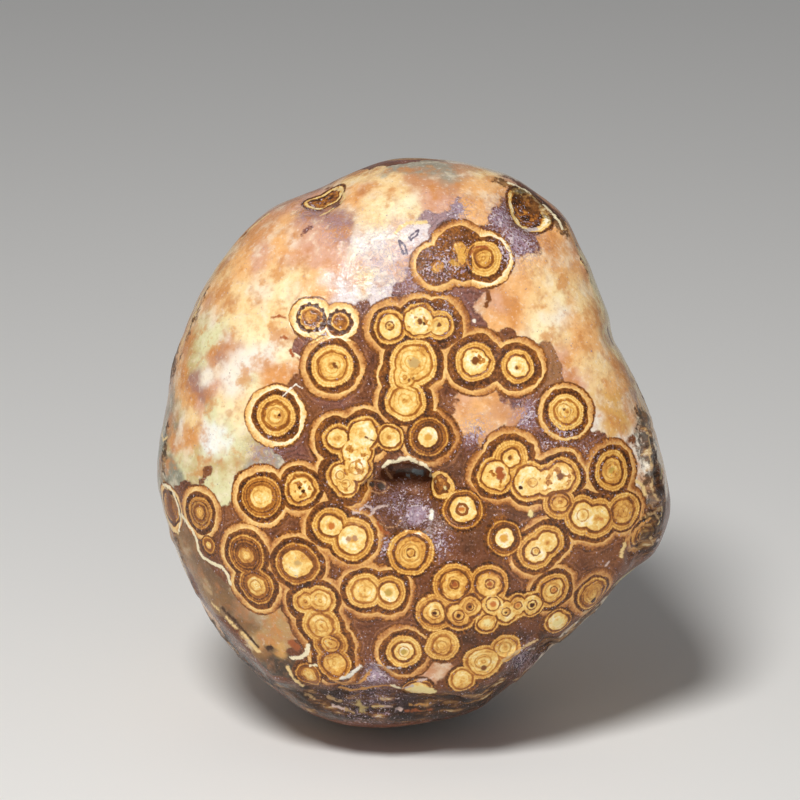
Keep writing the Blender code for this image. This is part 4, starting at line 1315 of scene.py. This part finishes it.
# Gaps to the outlines of the ranked eyes, the nearest core's own values and the way from its middle
def nearestEye(at):
    fields = core = own = away = None
    names = ("eyeTones", "eyeMarks", "eyeRing")
    for rank in range(eyeRanks):
        toEye = calcVector("SUBTRACT", at, stored(f"eyeSpot{rank}"))
        gap = length(toEye)
        spread = putNode("ShaderNodeCombineXYZ", {0: gap, 1: gap, 2: gap})
        here = calcVector("SUBTRACT", spread, stored(f"eyeSizes{rank}"))
        hereCore = parts(here)[0]
        hereOwn = [stored(f"{name}{rank}") for name in names]
        if fields is None:
            fields, core, own, away = here, hereCore, hereOwn, toEye
            continue
        fields = calcVector("MINIMUM", fields, here)
        closer = calc("LESS_THAN", hereCore, core)
        core = calc("MINIMUM", core, hereCore)
        own = [mixVector(closer, a, b) for a, b in zip(own, hereOwn)]
        away = mixVector(closer, away, toEye)
    return fields, own, away


# Tone of the eyes from 0 to 1, share of the surface that they take, gap to the band and share of it
def eyePattern(at, noises):
    look = agateLook
    edge = look["edge"]
    fine, cloudy, lumps = noises["fine"], noises["cloudy"], noises["lumps"]
    wobble = noiseField(at, look["wobbleSize"], 1.0, out=1)
    warped = at
    for shift, amount in ((wobble, "wobble"), (lumps, "lumps"), (noises["fray"], "fray")):
        warped = calcVector("ADD", warped, scaled(shift, look[amount]))
    fields, (tones, marks, ring), away = nearestEye(warped)
    coreGap, haloGap, bandGap = parts(fields)
    coreTone, haloTone, bandTone = parts(tones)
    holes, centre, rings = parts(marks)
    ringTone, ringWidth, lumpiness = parts(ring)
    lumpX, lumpY, lumpZ = parts(lumps)
    coreGap = plus(coreGap, times(lumpX, times(lumpiness, 0.50)))
    radius = length(away)
    around = scaled(calcVector("NORMALIZE", away), look["toothTurn"])
    teeth = noiseField(calcVector("ADD", around, scaled(at, 0.5)), 1.0, 2.0, 0.7)

    # core: lighter or darker centre, fine rings and brown holes
    wave = waves(addScaled(radius, lumpY, 0.5), look["coreRings"])
    wave = times(ease(wave, 0.1, 1.0), ease(noises["slow"], -0.25, 0.15))
    tone = plus(coreTone, times(wave, times(rings, look["coreRingDepth"])))
    tone = plus(tone, times(centre, ease(radius, 0.50, 0.10)))
    tone = plus(tone, ease(coreGap, -0.55, 0.0, 0.0, 0.12))
    tone = stirred(tone, noises, cloudy=0.80, grainy=0.45, fine=0.40)
    holeShare = times(ease(noises["holes"], 0.035, 0.12), holes)
    holeShare = times(holeShare, ease(coreGap, -0.10, -0.30))
    tone = mixValue(holeShare, tone, addScaled(look["holeTone"], fine, 0.8))
    # dark ring, then the fibrous halo with fine lines and a light rim
    halo = plus(haloTone, times(teeth, 0.5))
    halo = stirred(halo, noises, fine=0.35, cloudy=0.40)
    halo = addScaled(halo, waves(haloGap, look["haloLines"]), look["haloLineDepth"])
    haloEdge = addScaled(haloGap, teeth, look["teeth"])
    rimLift = times(addScaled(-0.12, haloTone, 0.5), ease(haloEdge, -0.30, -0.12))
    halo = minus(halo, rimLift)
    ringDepth = stirred(ringTone, noises, fine=0.30, cloudy=0.35)
    tone = mixValue(ease(coreGap, -edge, edge), tone, ringDepth)
    ringEnd = minus(addScaled(coreGap, lumpZ, 0.35), ringWidth)
    tone = mixValue(ease(ringEnd, -1.3 * edge, 1.3 * edge), tone, halo)
    # dark granular zone, light outer band and the thin dark line outside it
    darkTone = ease(haloGap, 0.05, 0.45, *look["darkTones"])
    darkTone = stirred(darkTone, noises, fine=0.70, cloudy=0.35)
    tone = mixValue(ease(haloEdge, -2.4 * edge, 1.4 * edge), tone, darkTone)
    bandEdge = addScaled(bandGap, fine, 0.16)
    thinner = addScaled(look["bandWidth"], noises["slow"], 0.55)
    onBand = minus(calc("ABSOLUTE", addScaled(bandEdge, lumpX, 0.2)), thinner)
    bandMask = times(ease(onBand, edge, -edge), ease(haloEdge, 0.05, 0.15))
    light = stirred(bandTone, noises, fine=0.45, slow=0.75)
    light = addScaled(light, bandEdge, 0.60)
    tone = mixValue(bandMask, tone, light)
    # how far the eyes' own zone reaches over the ground
    bandOut = look["bandWidth"] + look["bandShadow"]
    banded = ease(bandEdge, bandOut + edge, bandOut - edge)
    bare = ease(addScaled(haloGap, cloudy, 0.5), 0.40, 0.22)
    return tone, calc("MAXIMUM", banded, bare), bandEdge, bandMask


def tinted(colour, fields, tints, share=None):
    for name, start, end, strength, code in tints:
        tint = ease(fields[name], start, end, 0.0, strength)
        if share is not None:
            tint = times(share, tint)
        colour = mixColour(tint, colour, hexColour(code))
    return colour


# Chalcedony with cloudy mottling, and granular brown matrix with faint lines round the eyes
def groundPattern(noises, bandEdge):
    fine, cloudy = noises["fine"], noises["cloudy"]
    clear = stored("groundColour")
    bright = ease(parts(clear)[1], 0.12, 0.30, 0.15, 1.0)
    clear = tinted(clear, noises, brightTints, bright)
    clear = tinted(clear, noises, clearTints)
    clear = tinted(clear, noises, lightGrains, bright)
    veins = ease(calc("ABSOLUTE", noises["veins"]), 0.06, 0.0)
    veins = times(veins, ease(cloudy, -0.10, 0.20, 0.0, 0.45))
    clear = mixColour(veins, clear, hexColour(veinColour))
    around = waves(addScaled(bandEdge, cloudy, 0.8), agateLook["matrixLines"])
    around = times(around, ease(bandEdge, 1.5, 0.3, 0.0, 0.50))
    uneven = addScaled(around, noises["patchy"], 2.6)
    dark = tinted(stored("matrixColour"), {"uneven": uneven, "fine": fine}, matrixTints)
    share = addScaled(stored("clearShare", "Fac"), cloudy, 0.55)
    share = ease(addScaled(share, fine, 0.35), 0.38, 0.62)
    return mixColour(share, dark, clear), share


# Crust lines, cracks, holes and fine rings over everything else
def drawMarks(at, noises, colour):
    at = calcVector("ADD", at, scaled(noises["fray"], 0.12))
    at = calcVector("ADD", at, scaled(noises["lumps"], 0.05))
    for rank in range(markRanks):
        start = stored(f"markStart{rank}")
        along = calcVector("SUBTRACT", stored(f"markEnd{rank}"), start)
        fromStart = calcVector("SUBTRACT", at, start)
        span = calc("MAXIMUM", calcVector("DOT_PRODUCT", along, along, "Value"), 0.000001)
        share = calc("DIVIDE", calcVector("DOT_PRODUCT", fromStart, along, "Value"), span, clamp=True)
        gap = length(calcVector("SUBTRACT", fromStart, scaled(along, share)))
        ring, width, softness = parts(stored(f"markLook{rank}"))
        gap = calc("ABSOLUTE", minus(gap, ring))
        gap = minus(addScaled(gap, noises["fine"], 0.22), width)
        gap = plus(gap, times(noises["grainy"], times(softness, 5.0)))
        mask = ease(gap, softness, times(softness, -1.0))
        colour = mixColour(mask, colour, stored(f"markColour{rank}"))
    return colour


def finishAgate():
    look = agateLook
    shader = tree.nodes["Principled BSDF"]
    at = scaled(putNode("ShaderNodeTexCoord", {}, out="Object"), 1 / mm)
    noises = {name: noiseField(at, *settings) for name, settings in noiseKinds.items()}
    noises["lumps"] = noiseField(at, look["lumpSize"], 1.0, out=1)
    noises["fray"] = noiseField(at, look["fraySize"], 1.0, out=1)
    fine, grainy = noises["fine"], noises["grainy"]
    tone, zone, bandEdge, bandMask = eyePattern(at, noises)
    ground, clear = groundPattern(noises, bandEdge)
    rosy = times(bandMask, look["rosyBands"])
    eyeColour = mixColour(rosy, ramp(tone, toneStops), ramp(tone, bandStops))
    colour = mixColour(zone, ground, eyeColour)

    # rough layered crust in brown, grey and cream
    crust = ease(addScaled(stored("crustShare", "Fac"), grainy, 1.4), 0.40, 0.80)
    layers = noiseField(calcVector("MULTIPLY", at, (0.5, 0.5, 1.9)), 1.2, 4.0, 0.6)
    crustColour = ramp(addScaled(0.5, layers, 1.5), crustStops)
    colour = mixColour(times(crust, look["crustCover"]), colour, crustColour)

    # painted glints: pale specks of small crystals in the dark porous parts, with a bump of their own
    dark = times(zone, ease(tone, 0.66, 0.80))
    dark = calc("MAXIMUM", dark, minus(minus(1.0, zone), clear))
    glintShare = stored("glintShare", "Fac")
    glassy = minus(glintShare, plainGlint)
    glintShare = addScaled(glintShare, noises["patchy"], 1.2)
    glintShare = times(glintShare, addScaled(addScaled(0.05, dark, 0.95), glassy, 0.6))
    glintSpeck = noiseField(at, look["glintSpeckSize"], 1.5, 0.6, offset=(6.0, 5.0, 2.0))
    glintSpeck = ease(addScaled(glintSpeck, glintShare, 0.17), 0.18, 0.27)
    glintSpeckColour = mixColour(ease(grainy, -0.1, 0.1), *(hexColour(code) for code in glintSpeckColours))
    colour = mixColour(times(glintSpeck, 0.85), colour, glintSpeckColour)
    # lilac crackle in the glassy patches of the chalcedony
    crackle = ease(calc("ABSOLUTE", addScaled(grainy, noises["cloudy"], 0.4)), 0.06, 0.0)
    crackle = times(times(crackle, glassy), minus(1.0, zone))
    colour = mixColour(times(crackle, 0.9), colour, hexColour(crackleColour))
    tree.links.new(drawMarks(at, noises, colour), shader.inputs["Base Color"])

    # shine: polished quartz, with the dark parts and the crust rougher
    rough = addScaled(look["roughness"], dark, 0.14)
    rough = addScaled(rough, crust, 0.25)
    rough = addScaled(rough, fine, 0.30)
    tree.links.new(rough, shader.inputs["Roughness"])
    shader.inputs["Specular IOR Level"].default_value = look["specular"]
    shader.inputs["Coat Weight"].default_value = look["coat"]
    shader.inputs["Coat Roughness"].default_value = look["coatRoughness"]
    height = times(fine, addScaled(0.35, dark, 1.0))
    height = addScaled(height, noises["cloudy"], addScaled(0.7, glassy, 6.0))
    height = addScaled(height, grainy, addScaled(addScaled(0.35, crust, 1.5), glassy, 4.0))
    height = addScaled(height, glintSpeck, 0.5)
    height = addScaled(height, dark, -0.35)
    for strength, socket in ((1.0, "Normal"), (look["coatBump"], "Coat Normal")):
        bump = putNode("ShaderNodeBump", {
            "Strength": strength, "Distance": look["bumpDepth"], "Height": height})
        tree.links.new(bump, shader.inputs[socket])


finishAgate()
stone.data.materials.clear()
stone.data.materials.append(agate)
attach(stone, "root")
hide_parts("agate")
print("stone finished")


# Pale floor, soft studio light and the camera
studio = {
    "floorRadius": 2.5,
    "floorSides": 96,
    "floorColour": "F0EEEA",
    "floorRoughness": 0.7,
    "skyColour": "E4E6EA",
    "skyStrength": 0.20,
    "keyPower": 1.46,
    "keySize": 0.11,
    "keyDistance": 0.38,
    "keyGlint": (-1.9, 16.0),       # place on the face where the key light glints
    "keyAim": (0, 0, 0.025),
    "fillPower": 0.45,
    "fillSize": 0.3,
    "fillSpot": (0.25, -0.60, 0.08),
    "fillAim": (0, 0, 0.015),
    "sensor": 36.0,                 # mm
    "clip": (0.01, 10.0),
}


def makeFloor():
    bm = bmesh.new()
    bmesh.ops.create_circle(
        bm, cap_ends=True, segments=studio["floorSides"], radius=studio["floorRadius"])
    mesh = bpy.data.meshes.new("floor")
    bm.to_mesh(mesh)
    bm.free()
    floor = bpy.data.objects.new("floor", mesh)
    bpy.context.scene.collection.objects.link(floor)
    material = bpy.data.materials.new("pale floor")
    material.use_nodes = True
    shader = material.node_tree.nodes["Principled BSDF"]
    shader.inputs["Base Color"].default_value = hexColour(studio["floorColour"])
    shader.inputs["Roughness"].default_value = studio["floorRoughness"]
    mesh.materials.append(material)


def addLight(name, spot, target, size, power):
    light = bpy.data.lights.new(name, "AREA")
    light.shape = "DISK"
    light.size = size
    light.energy = power
    item = bpy.data.objects.new(name, light)
    item.location = spot
    item.rotation_euler = (Vector(target) - item.location).to_track_quat("-Z", "Y").to_euler()
    bpy.context.scene.collection.objects.link(item)


def lightStudio():
    glint, squareness = onStone(*studio["keyGlint"])
    hit, normal, face, gap = surface.find_nearest(glint)
    view = (Vector(cameraSpot) - glint).normalized()
    toKey = 2 * normal.dot(view) * normal - view
    spot = glint * mm + toKey * studio["keyDistance"]
    print("key light towards", tuple(round(v, 2) for v in toKey))
    addLight("key", spot, studio["keyAim"], studio["keySize"], studio["keyPower"])
    addLight("fill", studio["fillSpot"], studio["fillAim"], studio["fillSize"], studio["fillPower"])
    world = bpy.data.worlds.new("studio")
    world.use_nodes = True
    sky = world.node_tree.nodes["Background"]
    sky.inputs["Color"].default_value = hexColour(studio["skyColour"])
    sky.inputs["Strength"].default_value = studio["skyStrength"]
    bpy.context.scene.world = world
    bpy.context.scene.view_settings.view_transform = "Standard"


def placeCamera():
    camera = bpy.data.cameras.new("camera")
    camera.sensor_width = studio["sensor"]
    camera.lens = camera.sensor_width * faceView["distance"] / faceView["width"]
    camera.clip_start, camera.clip_end = studio["clip"]
    item = bpy.data.objects.new("camera", camera)
    item.location = Vector(cameraSpot) * mm
    item.rotation_euler = (math.pi / 2 - faceView["lean"], 0, 0)
    bpy.context.scene.collection.objects.link(item)
    bpy.context.scene.camera = item


makeFloor()
lightStudio()
placeCamera()
